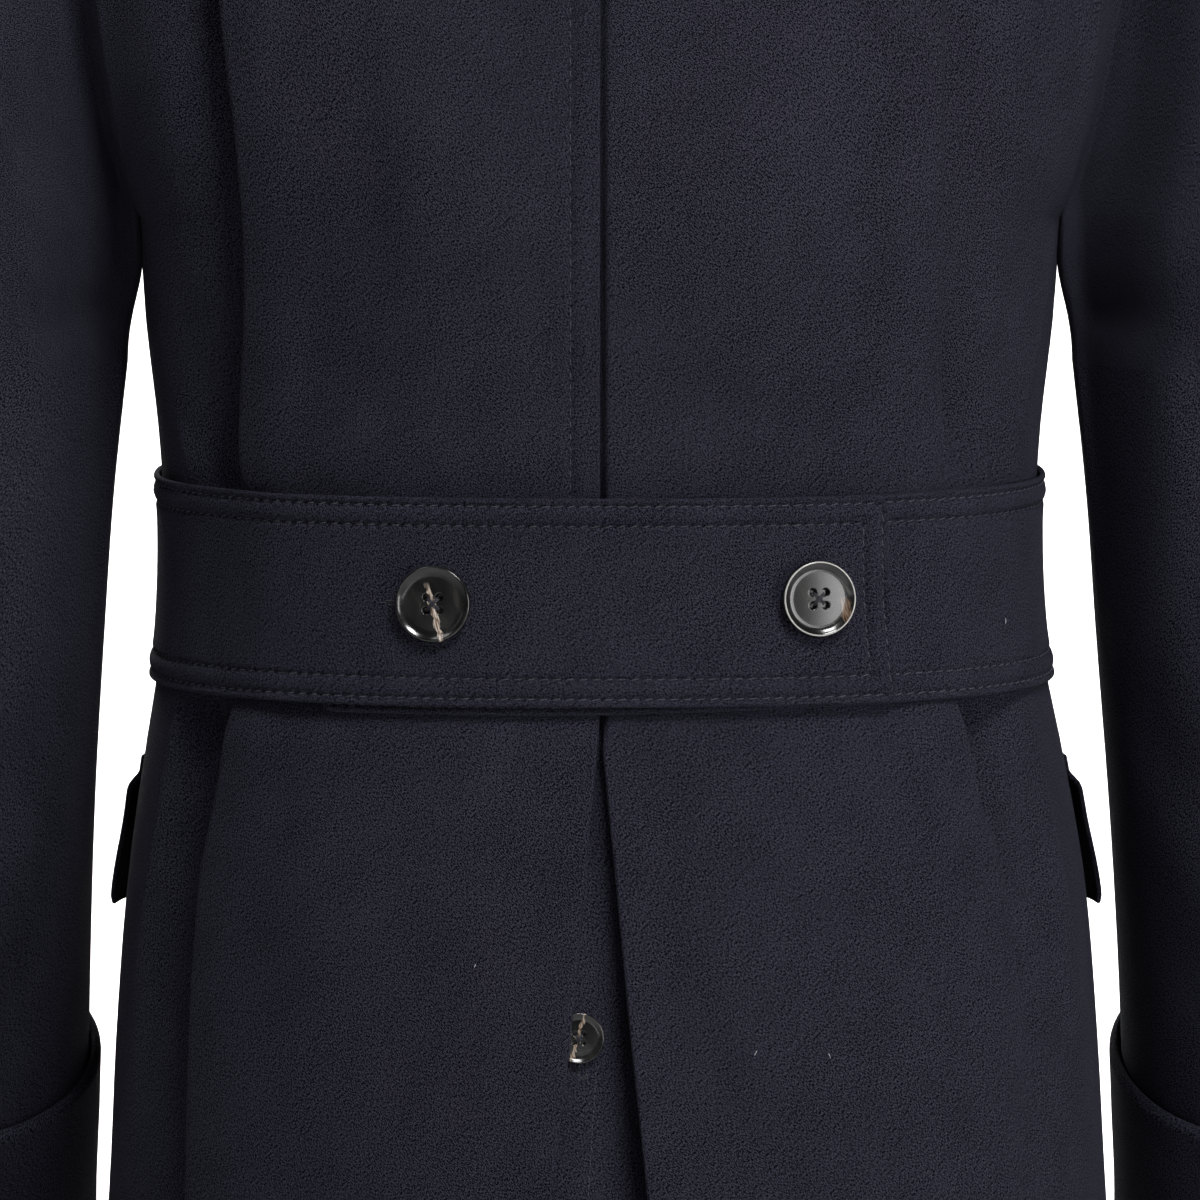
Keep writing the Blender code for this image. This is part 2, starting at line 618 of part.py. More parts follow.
def laid_on_front(side, shares, heights, lift):
    """Grid of points on the front panel's own facets, lifted off them."""
    s = sorted(set(shares) | {c for c in FRONT_COLUMNS if shares[0] < c < shares[-1]})
    z = sorted(set(heights) | {h for h in FRONT_ROWS_Z if heights[0] < h < heights[-1]})
    s = np.array(s)
    z = np.array(z)
    grid_s = np.array(FRONT_COLUMNS)
    grid_z = np.array(FRONT_ROWS_Z)
    t = ((grid_z - HEM_Z) / (ARMPIT_Z - HEM_Z))[:, None]
    grid = front_panel(side, grid_s[None, :], t)
    j = np.clip(np.searchsorted(grid_s, s, side="right") - 1, 0, len(grid_s) - 2)
    i = np.clip(np.searchsorted(grid_z, z, side="right") - 1, 0, len(grid_z) - 2)
    v = ((s - grid_s[j]) / (grid_s[j + 1] - grid_s[j]))[None, :, None]
    u = ((z - grid_z[i]) / (grid_z[i + 1] - grid_z[i]))[:, None, None]
    low = grid[i][:, j] * (1 - v) + grid[i][:, j + 1] * v
    high = grid[i + 1][:, j] * (1 - v) + grid[i + 1][:, j + 1] * v
    points = low * (1 - u) + high * u
    angle = np.arctan2(points[..., 0], points[..., 1])
    outward = unit(on_body(angle, points[..., 2], 0.01 + 0 * angle) - oval(angle, points[..., 2]))
    return points + outward * lift(z)[:, None, None]


def make_pockets(parts):
    """Patch pockets on the fronts, each with a flap over its mouth."""
    def patch_lift(z):
        return LAID_GAP + 0 * z

    def flap_lift(z):
        lift = 0.0046 + 0.0020 * ease(-z, 0.520, 0.556) - 0.0007 * ease(-z, 0.5555, 0.5580)
        return lift - 0.0040 * ease(z, -0.512, -0.5035)

    for side, name in ((1, "left"), (-1, "right")):
        points = laid_on_front(side, PATCH_SHARES, PATCH_HEIGHTS, patch_lift)
        sheet(parts, "pocket_" + name, points, WALL, True, flip=side < 0)
        points = laid_on_front(side, FLAP_SHARES, FLAP_HEIGHTS, flap_lift)
        sheet(parts, "flap_" + name, points, WALL, True, flip=side < 0)


def lapel_points(side, t, w):
    """Lapel from its roll line, w 0, to its outer edge, w 1, and from the break up to the gorge."""
    roll = GORGE_SHARE * t
    roll_x = -FRONT_EDGE_X + (FRONT_EDGE_X + NECK_HALF) * roll
    roll_z = BREAK_Z + (NECK_SIDE_Z - BREAK_Z) * roll
    edge_x = -FRONT_EDGE_X + 0.006 + (PEAK_X + FRONT_EDGE_X - 0.006) * t + 0.020 * np.sin(math.pi * t)
    edge_z = BREAK_Z - 0.004 + (PEAK_Z - BREAK_Z + 0.004) * t - 0.012 * np.sin(math.pi * t)
    x = roll_x + (edge_x - roll_x) * w
    z = roll_z + (edge_z - roll_z) * w
    raised = 0.0016 if side > 0 else 0.0
    lift = (0.0010 if side > 0 else 0.0014) + raised * ease(w, 0.3, 1.0)
    return on_chest(side, side * x, z, lift)


def make_lapels(parts):
    """Broad lapels lying on the fronts."""
    t = np.linspace(0.03, 1.0, 10)[:, None]
    w = np.linspace(0.0, 1.0, 8)[None, :]
    t = t + 0 * w
    w = w + 0 * t
    for side, name in ((1, "lapel_left"), (-1, "lapel_right")):
        sheet(parts, name, lapel_points(side, t, w), WALL, True, flip=side < 0)


def neckline(q):
    """Line that the collar is sewn to: q 0 is the centre back, 1 is the left gorge."""
    side = np.where(q < 0, -1.0, 1.0)
    size = np.abs(q)
    turn = np.clip(size / NECKLINE_SHARE, 0, 1) * math.pi / 2
    down = np.clip((size - NECKLINE_SHARE) / (1 - NECKLINE_SHARE), 0, 1) * (1 - GORGE_SHARE)
    x = NECK_HALF * np.sin(turn) - (NECK_HALF + FRONT_EDGE_X) * down
    z = NECK_SIDE_Z * (1 - np.cos(turn)) - (NECK_SIDE_Z - BREAK_Z) * down
    y = np.where(size < NECKLINE_SHARE, NECK_BACK * np.cos(turn), chest(x, z))
    return np.stack([side * x, y, z], axis=-1)


def make_collar(parts):
    """Collar with a stand round the neck and a fall over the back and shoulders."""
    q = np.linspace(-1.0, 1.0, 25)
    base = neckline(q)
    size = np.abs(q)
    turn = np.clip(size / NECKLINE_SHARE, 0, 1) * math.pi / 2
    side = np.where(q < 0, -1.0, 1.0)
    front = ease(size, 0.55, 1.0)
    outward = np.stack([side * (np.sin(turn) * (1 - front) + 0.75 * front),
                        np.cos(turn) - 0.55 * front, -0.30 * front], axis=-1)
    outward = unit(outward)
    stand = COLLAR_STAND * (1 - ease(size, 0.45, 1.0)) + 0.004
    up = np.stack([0 * q, -0.10 * np.cos(turn) - 0.30 * front, 1 - 0.4 * front], axis=-1)
    up = unit(up)
    reach = 0.030 + 0.046 * ease(size, 0.0, 0.9)
    drop = 0.050 - 0.032 * ease(size, 0.25, 0.60)
    foot = base + up * 0.0006
    crest = foot + up * stand[:, None] + outward * 0.002
    over = crest + outward * 0.010 - up * 0.001
    edge = foot + outward * (reach + 0.006)[:, None] - np.stack([0 * q, 0 * q, drop], axis=-1)
    middle = (over + edge) / 2 + outward * 0.010
    lines = [foot, foot + (crest - foot) * 0.5, crest, over, middle, edge]
    points = np.stack(lines, axis=0)
    sheet(parts, "collar", points, WALL, True, flip=False)


def button_object(parts, cutters, name, radius, thick, place, normal, holes):
    """Round four-hole button with a dished face, standing on its cloth."""
    profile = [(0.0, 0.70), (0.62, 0.70), (0.84, 0.86), (0.93, 1.0), (1.0, 0.80), (1.0, 0.45),
               (0.80, 0.0), (0.0, 0.0)]
    mesh = bpy.data.meshes.new(name)
    points = [(radius * r, 0.0, thick * h) for r, h in profile]
    mesh.from_pydata(points, [(i, i + 1) for i in range(len(points) - 1)], [])
    item = bpy.data.objects.new(name, mesh)
    parts.objects.link(item)
    spin = item.modifiers.new("turn", "SCREW")
    spin.steps = 20
    spin.render_steps = 20
    spin.use_merge_vertices = True
    spin.merge_threshold = 0.00001
    spin.use_normal_calculate = True
    if holes:
        step = radius * HOLE_PLACE_SHARE
        bore = radius * HOLE_BORE_SHARE
        for i, (cx, cy) in enumerate(((step, step), (-step, step), (-step, -step), (step, -step))):
            bpy.ops.mesh.primitive_cylinder_add(vertices=10, radius=bore, depth=thick * 3,
                                                location=(cx, cy, thick * 0.5))
            cutter = bpy.context.object
            cutter.name = "%s_hole_%d" % (name, i + 1)
            for group in list(cutter.users_collection):
                group.objects.unlink(cutter)
            cutters.objects.link(cutter)
            cutter.display_type = "WIRE"
            cutter.hide_render = True
            cutter.parent = item
            cut = item.modifiers.new("hole_%d" % (i + 1), "BOOLEAN")
            cut.object = cutter
            cut.operation = "DIFFERENCE"
            cut.solver = "EXACT"
    normal = unit(np.asarray(normal, float))
    angle_z = math.atan2(normal[1], normal[0])
    angle_y = math.acos(max(-1.0, min(1.0, normal[2])))
    item.rotation_euler = (0.0, angle_y, angle_z)
    item.location = tuple(np.asarray(place) + normal * LAID_GAP)
    item.data.materials.append(horn_material(name + "_horn"))
    return item


def button_on_body(parts, cutters, name, radius, x, z, front, lift, holes):
    """Button lying on the body at a height and a distance out."""
    angle = float(angle_at(x, z, front=front))
    here = on_body(np.array(angle), np.array(z), np.array(lift))
    further = on_body(np.array(angle), np.array(z), np.array(lift + 0.01))
    thick = radius * BUTTON_THICK_SHARE
    button_object(parts, cutters, name, radius, thick, here, further - here, holes)


def make_buttons(parts, cutters):
    """Two belt buttons, the vent button and six front buttons."""
    belt_top = BELT_LIFT + OVER_STEP + BELT_WALL + 0.0003
    for name, x, z in BELT_BUTTONS:
        button_on_body(parts, cutters, name, BIG_BUTTON_R, x, z, False, belt_top, True)
    for row, (z, left_seat, right_seat) in enumerate(FRONT_BUTTON_ROWS):
        for side, word, seat in ((1, "left", left_seat), (-1, "right", right_seat)):
            name = "front_button_%s_%d" % (word, row + 1)
            button_on_body(parts, cutters, name, BIG_BUTTON_R, side * FRONT_BUTTON_X, z, True, seat,
                           False)
    x = np.array(VENT_BUTTON_X)
    z = np.array(VENT_BUTTON_Z)
    here = vent_underlay(x, z)
    near = vent_underlay(x + 0.002, z)
    above = vent_underlay(x, z + 0.002)
    normal = np.cross(above - here, near - here)
    normal = normal * np.sign(normal[1])
    button_object(parts, cutters, "vent_button", SMALL_BUTTON_R, VENT_BUTTON_THICK, here, normal, True)


def build():
    """Whole coat."""
    parts, cutters = start_scene()
    make_backs(parts)
    make_vent(parts)
    make_fronts(parts)
    make_sleeves(parts)
    make_belt(parts)
    make_pockets(parts)
    make_lapels(parts)
    make_collar(parts)
    make_buttons(parts, cutters)


build()
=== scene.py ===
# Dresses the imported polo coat: fine cloth shells on the solids' own form, seams, stitches,
# buttonholes, horn buttons and brushed navy wool.
import math
import bpy
import numpy as np
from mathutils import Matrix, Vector


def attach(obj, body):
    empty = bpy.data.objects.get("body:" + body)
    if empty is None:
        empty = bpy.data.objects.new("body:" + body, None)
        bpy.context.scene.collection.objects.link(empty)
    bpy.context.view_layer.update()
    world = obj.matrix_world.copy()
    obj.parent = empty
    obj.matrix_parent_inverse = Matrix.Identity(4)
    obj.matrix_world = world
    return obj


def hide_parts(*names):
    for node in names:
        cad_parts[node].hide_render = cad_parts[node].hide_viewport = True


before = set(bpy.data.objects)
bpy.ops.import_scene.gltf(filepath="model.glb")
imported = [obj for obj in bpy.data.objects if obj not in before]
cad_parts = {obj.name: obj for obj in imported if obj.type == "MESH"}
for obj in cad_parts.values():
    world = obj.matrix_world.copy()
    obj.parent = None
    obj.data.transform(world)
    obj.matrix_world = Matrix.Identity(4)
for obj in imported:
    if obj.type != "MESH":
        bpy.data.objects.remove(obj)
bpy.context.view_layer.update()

# Sizes of the coat, the same as its solids, in metres
WALL = 0.0020
BELT_WALL = 0.0022
HEM_Z = -1.120
ARMPIT_Z = -0.275
BELT_TOP_Z = -0.3798
BELT_BOTTOM_Z = -0.4602
BELT_MID_Z = (BELT_TOP_Z + BELT_BOTTOM_Z) / 2
STITCH_PITCH = 0.0049
STITCH_STEPS = (-0.0012, 0.0, 0.0012)
SIDES = ((1, "left"), (-1, "right"))

# Height, half width left, half width right, depth back, depth front, squareness
BODY = [
    (-1.120, 0.236, 0.238, 0.196, 0.186, 2.25),
    (-0.950, 0.221, 0.225, 0.181, 0.172, 2.30),
    (-0.800, 0.208, 0.214, 0.169, 0.160, 2.35),
    (-0.660, 0.1985, 0.2045, 0.160, 0.150, 2.40),
    (-0.600, 0.1955, 0.2010, 0.156, 0.146, 2.42),
    (-0.540, 0.1905, 0.1955, 0.150, 0.141, 2.42),
    (-0.490, 0.1835, 0.1865, 0.143, 0.136, 2.42),
    (-0.450, 0.1775, 0.1785, 0.136, 0.132, 2.42),
    (-0.400, 0.1755, 0.1755, 0.132, 0.130, 2.42),
    (-0.360, 0.1780, 0.1775, 0.133, 0.132, 2.42),
    (-0.320, 0.1825, 0.1820, 0.136, 0.135, 2.42),
    (-0.275, 0.1860, 0.1860, 0.139, 0.137, 2.42),
    (-0.200, 0.2050, 0.2050, 0.139, 0.137, 2.42),
    (-0.050, 0.2450, 0.2450, 0.139, 0.137, 2.42),
]
SIDE_SEAM = [(-1.120, 78.0), (-0.660, 76.0), (-0.500, 71.0), (-0.420, 69.0), (-0.360, 71.0),
             (-0.275, 80.0)]
# Height, distance out of the long fold at the left and at the right
FOLD_LINE = [
    (-1.120, 0.182, 0.186), (-0.700, 0.166, 0.168), (-0.560, 0.159, 0.163),
    (-0.530, 0.156, 0.158), (-0.497, 0.149, 0.147), (-0.458, 0.142, 0.1385),
    (-0.376, 0.139, 0.1345), (-0.245, 0.140, 0.134), (-0.186, 0.147, 0.134),
    (-0.050, 0.150, 0.140),
]
# Height, depth of that fold at the left and at the right
FOLD_DEPTH = [
    (-1.120, 0.003, 0.003), (-0.640, 0.009, 0.005), (-0.570, 0.0155, 0.0105),
    (-0.500, 0.0185, 0.0155), (-0.462, 0.016, 0.014), (-0.450, 0.003, 0.002),
    (-0.390, 0.003, 0.002), (-0.378, 0.014, 0.0090), (-0.300, 0.0180, 0.0050),
    (-0.200, 0.0185, 0.0045), (-0.120, 0.0125, 0.0035), (-0.050, 0.001, 0.001),
]
# Height, centre edge of the left back and of the right back
CENTRE_EDGES = [
    (-1.120, 0.0380, -0.0380), (-0.800, 0.0275, -0.0275), (-0.653, 0.0200, -0.0195),
    (-0.590, 0.0125, -0.0130), (-0.528, 0.0072, -0.0070), (-0.480, 0.0024, -0.0022),
    (-0.462, 0.0010, -0.0004), (-0.445, 0.0010, 0.0040), (-0.420, 0.0010, 0.0080),
    (0.000, 0.0010, 0.0080),
]
BACK_FOLD_SHARE = 0.60
NECK_HALF = 0.075
NECK_BACK = 0.075
NECK_SIDE_Z = 0.025
NECK_SHARE = 0.33
SHOULDER_X = 0.215
SHOULDER_Z = -0.045
ARMHOLE_OUT = 0.012
ARMHOLE_DEEP = 0.045
ARMHOLE_RISE = 0.030
PANEL_RISE = 0.085
FRONT_EDGE_X = 0.085
BREAK_Z = -0.255
ROLL_SHARE = 0.45
GORGE_SHARE = 0.72
NECK_END = 0.62
PEAK_X = 0.132
PEAK_Z = -0.072
UNDER_LAP = 0.0032
UNDER_LAPEL = 0.0085
COLLAR_STAND = 0.040
# Middle height, inner side, half width, middle depth, half depth, forward tilt
SLEEVE = [
    (-0.335, 0.1905, 0.0680, 0.000, 0.0760, 0.0),
    (-0.390, 0.1963, 0.0665, 0.001, 0.0745, 4.0),
    (-0.450, 0.2008, 0.0650, -0.005, 0.0720, 12.0),
    (-0.510, 0.2052, 0.0630, -0.023, 0.0695, 21.0),
    (-0.570, 0.2086, 0.0615, -0.049, 0.0670, 26.0),
    (-0.640, 0.2117, 0.0595, -0.083, 0.0645, 27.0),
    (-0.715, 0.2140, 0.0580, -0.121, 0.0620, 27.0),
]
CUFF_SHARE = 0.80
CUFF_WALL = 0.0024


def smooth(table, column, z):
    """Value of a table's column at z, by a smooth cubic through its rows."""
    rows = sorted(table)
    zs = np.array([row[0] for row in rows])
    vs = np.array([row[column] for row in rows])
    slopes = np.gradient(vs, zs)
    z = np.clip(np.asarray(z, dtype=float), zs[0], zs[-1])
    k = np.clip(np.searchsorted(zs, z) - 1, 0, len(zs) - 2)
    h = zs[k + 1] - zs[k]
    t = (z - zs[k]) / h
    return ((2 * t**3 - 3 * t**2 + 1) * vs[k] + (t**3 - 2 * t**2 + t) * h * slopes[k]
            + (-2 * t**3 + 3 * t**2) * vs[k + 1] + (t**3 - t**2) * h * slopes[k + 1])


def ease(x, low, high):
    """Smooth step from 0 at low to 1 at high."""
    t = np.clip((np.asarray(x, dtype=float) - low) / (high - low), 0.0, 1.0)
    return t * t * (3 - 2 * t)


def mound(x, width):
    """Bell of height 1 at 0."""
    return np.exp(-(np.asarray(x, dtype=float) / width) ** 2)


def half_width(toward, z):
    """Half width of the section: left where toward is above 0, else right."""
    return np.where(toward > 0, smooth(BODY, 1, z), smooth(BODY, 2, z))


def oval(angle, z):
    """Point of the body section at height z, at the angle from the centre back: a superellipse,
    its radius one over the root of the summed powers of sine by half width and cosine by depth."""
    sine = np.sin(angle)
    cosine = np.cos(angle)
    half = half_width(sine, z)
    deep = np.where(cosine > 0, smooth(BODY, 3, z), smooth(BODY, 4, z))
    power = smooth(BODY, 5, z)
    reach = ((np.abs(sine) / half) ** power + (np.abs(cosine) / deep) ** power) ** (-1 / power)
    return np.stack([reach * sine, reach * cosine, z + 0 * angle], axis=-1)


def angle_at(x, z, front=False):
    """Angle of the section's point that stands x out from the middle."""
    half = half_width(x, z)
    deep = smooth(BODY, 4 if front else 3, z)
    power = smooth(BODY, 5, z)
    share = np.clip(np.abs(x) / half, 0, 0.9999)
    y = deep * (1 - share**power) ** (1 / power)
    return np.arctan2(x, -y if front else y)


def unit(v):
    """Vectors made one long."""
    return v / np.maximum(np.linalg.norm(v, axis=-1, keepdims=True), 1e-12)


def bezier(p0, p1, p2, p3, t):
    """Cubic curve from p0 to p3: the four points weighted by the terms of (1 - t + t) cubed."""
    t = np.asarray(t, dtype=float)[..., None]
    return (1 - t)**3 * p0 + 3 * (1 - t)**2 * t * p1 + 3 * (1 - t) * t**2 * p2 + t**3 * p3


def shoulder_z(x):
    """Height of the shoulder seam."""
    share = np.clip((np.abs(x) - NECK_HALF) / (SHOULDER_X - NECK_HALF), 0, 1.2)
    return NECK_SIDE_Z + (SHOULDER_Z - NECK_SIDE_Z) * share


def back_angle(side, s, z):
    """Angle of a back panel's line s at height z."""
    column = 1 if side > 0 else 2
    edge = angle_at(smooth(CENTRE_EDGES, column, z), z)
    fold = angle_at(side * smooth(FOLD_LINE, column, z), z)
    seam = side * np.radians(smooth(SIDE_SEAM, 1, z))
    inner = edge + (fold - edge) * s / BACK_FOLD_SHARE
    outer = fold + (seam - fold) * (s - BACK_FOLD_SHARE) / (1 - BACK_FOLD_SHARE)
    return np.where(s < BACK_FOLD_SHARE, inner, outer)


def lower_panel(angle_of, side, s, t):
    """Panel below the armpit by ovals, t 0 to 1, with its top edge and the way it leaves there."""
    z = HEM_Z + (ARMPIT_Z - HEM_Z) * np.minimum(t, 1.0)
    low = oval(angle_of(side, s, z), z)
    level = np.full_like(z, ARMPIT_Z)
    foot = oval(angle_of(side, s, level), level)
    return low, foot, unit(foot - oval(angle_of(side, s, level - 0.002), level - 0.002))


def rise_of(hole):
    """Length of the cubic's first handle, shorter near the armhole."""
    return (PANEL_RISE - (PANEL_RISE - ARMHOLE_RISE) * hole)[..., None]


def back_surface(side, s, t):
    """Smooth back panel: t 0 to 1 is hem to armpit by ovals, 1 to 2 is a cubic up to the top."""
    s, t = np.broadcast_arrays(np.asarray(s, float), np.asarray(t, float))
    low, foot, rise = lower_panel(back_angle, side, s, t)
    turn = np.clip(s / NECK_SHARE, 0, 1) * math.pi / 2
    out = np.clip((s - NECK_SHARE) / (1 - NECK_SHARE), 0, 1)
    top = np.stack([side * (NECK_HALF * np.sin(turn) + (SHOULDER_X - NECK_HALF) * out),
                    NECK_BACK * np.cos(turn),
                    NECK_SIDE_Z * (1 - np.cos(turn)) + (SHOULDER_Z - NECK_SIDE_Z) * out], axis=-1)
    neck = 1 - ease(s, 0.10, 0.50)
    lean = np.stack([0 * s, -0.95 + 0.60 * neck, 0.04 + 0.90 * neck], axis=-1)
    hole = np.clip(s, 0, 1) ** 5
    skew = np.stack([side * ARMHOLE_OUT * hole, ARMHOLE_DEEP * hole, 0 * s], axis=-1)
    p2 = top - unit(lean) * 0.09 + np.stack([side * 0.006 * hole, 0 * s, 0 * s], axis=-1)
    high = bezier(foot, foot + rise * rise_of(hole) + skew, p2, top, np.clip(t - 1, 0, 1))
    return np.where((t < 1)[..., None], low, high)


def chest(x, z):
    """Depth of the front above the armpits: the section's depth, times a superellipse out to the
    side, times a rounded fall from the armpit's height to the shoulder seam."""
    seam = shoulder_z(x)
    share = np.clip((seam - z) / (seam - ARMPIT_Z), 0.0, 1.0)
    round_in = (1 - (1 - share) ** 2) ** 0.6
    power = smooth(BODY, 5, z)
    side_in = (1 - np.clip(np.abs(x) / smooth(BODY, 1, z), 0, 0.999) ** power) ** (1 / power)
    return -smooth(BODY, 4, z) * round_in * side_in


def front_edge_x(z):
    """How far past the middle the left front reaches, down its roll line and edge."""
    return roll_line(np.clip((z - BREAK_Z) / (NECK_SIDE_Z - BREAK_Z), 0, 1))[0]


def roll_line(share):
    """Distance out and height on the left roll line: straight from the break to the neck."""
    return (-FRONT_EDGE_X + (FRONT_EDGE_X + NECK_HALF) * share,
            BREAK_Z + (NECK_SIDE_Z - BREAK_Z) * share)


def front_angle(side, s, z):
    """Angle of a front panel's line s at height z."""
    edge = angle_at(-side * FRONT_EDGE_X + 0 * z, z, front=True)
    seam = side * np.radians(smooth(SIDE_SEAM, 1, z))
    edge = np.where(side * edge < 0, edge + side * 2 * math.pi, edge)
    return edge + (seam - edge) * s


def front_surface(side, s, t):
    """Smooth front panel: s runs from the front edge to the side, t as on the back."""
    s, t = np.broadcast_arrays(np.asarray(s, float), np.asarray(t, float))
    low, foot, rise = lower_panel(front_angle, side, s, t)
    roll = np.clip(s / ROLL_SHARE, 0, 1)
    out = np.clip((s - ROLL_SHARE) / (1 - ROLL_SHARE), 0, 1)
    roll_x, roll_z = roll_line(roll)
    top_x = roll_x + (SHOULDER_X - NECK_HALF) * out
    top_z = roll_z + (SHOULDER_Z - NECK_SIDE_Z) * out
    v = np.clip(t - 1, 0, 1)
    flat_x = foot[..., 0] + (side * top_x - foot[..., 0]) * v
    flat_z = ARMPIT_Z + (top_z - ARMPIT_Z) * v
    flat = np.stack([flat_x, chest(flat_x, flat_z), flat_z], axis=-1)
    top = np.stack([side * top_x, 0 * s, top_z], axis=-1)
    hole = np.clip(s, 0, 1) ** 5
    skew = np.stack([side * 0.008 * hole, -ARMHOLE_DEEP * hole, 0 * s], axis=-1)
    lean = unit(np.stack([0 * s, 0.95 + 0 * s, 0.04 + 0 * s], axis=-1))
    curved = bezier(foot, foot + rise * rise_of(hole) + skew, top - lean * 0.080, top, v)
    mix = ease(s, 0.55, 0.90)[..., None]
    return np.where((t < 1)[..., None], low, flat * (1 - mix) + curved * mix)


def front_lift(side, x, z):
    """The right front passes under the left one."""
    if side > 0:
        return 0 * x
    depth = UNDER_LAP + (UNDER_LAPEL - UNDER_LAP) * ease(z, -0.34, -0.28)
    return -depth * ease(x - front_edge_x(z), -0.090, -0.012)


def on_body(angle, z, lift):
    """Point lifted off the smooth body below the armpits: the point plus lift times the unit
    cross product of its differences round and down."""
    step = 1e-4
    normal = unit(np.cross(oval(angle + step, z) - oval(angle - step, z),
                           oval(angle, z + step) - oval(angle, z - step)))
    here = oval(angle, z)
    flip = np.sign(np.sum(normal * here, axis=-1, keepdims=True))
    return here + normal * flip * np.asarray(lift)[..., None]


def on_chest(side, x, z, lift):
    """Point lifted off the front along its unit normal, taken by differences out and up."""
    def point(px, pz):
        power = smooth(BODY, 5, pz)
        half = half_width(px, pz)
        share = np.clip(np.abs(px) / half, 0, 0.999)
        low = -smooth(BODY, 4, pz) * (1 - share**power) ** (1 / power)
        return np.stack([px, np.where(pz > ARMPIT_Z, chest(px, pz), low), pz], axis=-1)
    step = 1e-4
    normal = unit(np.cross(point(x + step, z) - point(x - step, z),
                           point(x, z + step) - point(x, z - step)))
    return point(x, z) + normal * (lift + front_lift(side, x, z))[..., None]


def armhole(angle):
    """Edge of the left armhole: 0 is the underarm, a quarter turn on is the back."""
    turn = np.mod(angle, 2 * math.pi)
    v = np.clip(np.where(turn < math.pi, turn, 2 * math.pi - turn) / math.pi, 0, 1)
    one = np.ones_like(v)
    return np.where((turn < math.pi)[..., None], back_surface(1, one, 1 + v),
                    front_surface(1, one, 1 + v))


def sleeve_surface(angle, t):
    """Left sleeve: t 0 to 1 is the cap, 1 to 2 is the rings down to the hem."""
    angle, t = np.broadcast_arrays(np.asarray(angle, float), np.asarray(t, float))
    share = (1 - np.cos(angle)) / 2
    leave = unit(np.stack([0.30 + 0.65 * ease(share, 0.0, 0.35), 0.50 * np.sin(angle),
                           -0.95 + 0.77 * ease(share, 0.0, 0.5)], axis=-1))
    edge = armhole(angle) + leave * 0.0004
    table = [(i / (len(SLEEVE) - 1), *row) for i, row in enumerate(SLEEVE)]

    def ring(u):
        z, inner, half, deep, half_deep, tilt = [smooth(table, k, u) for k in range(1, 7)]
        tilt = np.radians(tilt)
        back = half_deep * np.sin(angle)
        return np.stack([inner + half - half * np.cos(angle), deep + back * np.cos(tilt),
                         z - back * np.sin(tilt)], axis=-1)
    first = ring(0 * t)
    reach = (0.010 + 0.062 * share)[..., None]
    fall = (0.020 + 0.115 * share)[..., None]
    cap = bezier(edge, edge + leave * reach, first + np.array([0, 0, 1.0]) * fall, first,
                 np.clip(t, 0, 1))
    return np.where((t < 1)[..., None], cap, ring(np.clip(t - 1, 0, 1)))


def other_sleeve(points):
    """The same points at the wearer's right, where the forearm stands a little further out."""
    out = points * np.array([-1.0, 1.0, 1.0])
    out[..., 0] -= 0.0045 * ease(-points[..., 2], 0.42, 0.66)
    return out


# Mesh making
def normals_of(points, closed=False):
    """Unit normals of a grid by central differences, turned away from the garment's middle."""
    along = np.gradient(points, axis=0)
    if closed:
        across = np.roll(points, -1, axis=1) - np.roll(points, 1, axis=1)
    else:
        across = np.gradient(points, axis=1)
    normal = unit(np.cross(across, along))
    return normal * sign_of(points, normal, closed)


def sign_of(points, normal, closed=False):
    """1 where a grid's own normals point away from the middle, else -1."""
    middle = points.mean(axis=1, keepdims=True) if closed else np.zeros(3)
    away = (points - middle) * np.array([1, 1, 0.0 if not closed else 1.0])
    return 1.0 if np.sum(normal * away) > 0 else -1.0


def grid_area(points, closed=False):
    """Area of a grid of quads."""
    across = np.roll(points, -1, axis=1) if closed else points[:, 1:]
    base = points if closed else points[:, :-1]
    return 0.5 * np.linalg.norm(np.cross(across[1:] - base[:-1], base[1:] - across[:-1]),
                                axis=-1).sum()


def new_object(name, points, quads, loop_uv, mat):
    """Object of a mesh of quads with one map in metres."""
    mesh = bpy.data.meshes.new(name)
    mesh.vertices.add(len(points))
    mesh.vertices.foreach_set("co", points.astype(np.float32).ravel())
    mesh.loops.add(quads.size)
    mesh.loops.foreach_set("vertex_index", quads.astype(np.int32).ravel())
    mesh.polygons.add(len(quads))
    mesh.polygons.foreach_set("loop_start", np.arange(0, quads.size, 4, dtype=np.int32))
    layer = mesh.uv_layers.new(name="cloth")
    layer.data.foreach_set("uv", loop_uv.astype(np.float32).ravel())
    mesh.update(calc_edges=True)
    mesh.polygons.foreach_set("use_smooth", np.ones(len(quads), dtype=bool))
    mesh.materials.append(mat)
    item = bpy.data.objects.new(name, mesh)
    bpy.context.scene.collection.objects.link(item)
    return item


RIM = [math.pi / 6, math.pi / 3, math.pi / 2]


def grown(grids):
    """The middle, normal, half wall and map with half-round rows added at both ends."""
    middle, normal, half, uv = grids
    ends = []
    for edge, inner in ((0, 1), (-1, -2)):
        away = unit(middle[edge] - middle[inner])
        flat = unit(uv[edge] - uv[inner])
        rows = [(middle[edge] + away * (half[edge] * math.sin(a))[..., None], normal[edge],
                 half[edge] * math.cos(a), uv[edge] + flat * (half[edge] * a)[..., None])
                for a in RIM]
        ends.append(rows[::-1] if edge == 0 else rows)
    return [np.concatenate([np.stack([row[k] for row in ends[0]]), grids[k],
                            np.stack([row[k] for row in ends[1]])]) for k in range(4)]


def quads_of(grid, closed):
    """Corners of every quad of a grid, row by row."""
    across = np.roll(grid, -1, axis=1) if closed else grid[:, 1:]
    base = grid if closed else grid[:, :-1]
    return np.stack([base[:-1], across[:-1], across[1:], base[1:]], axis=2)


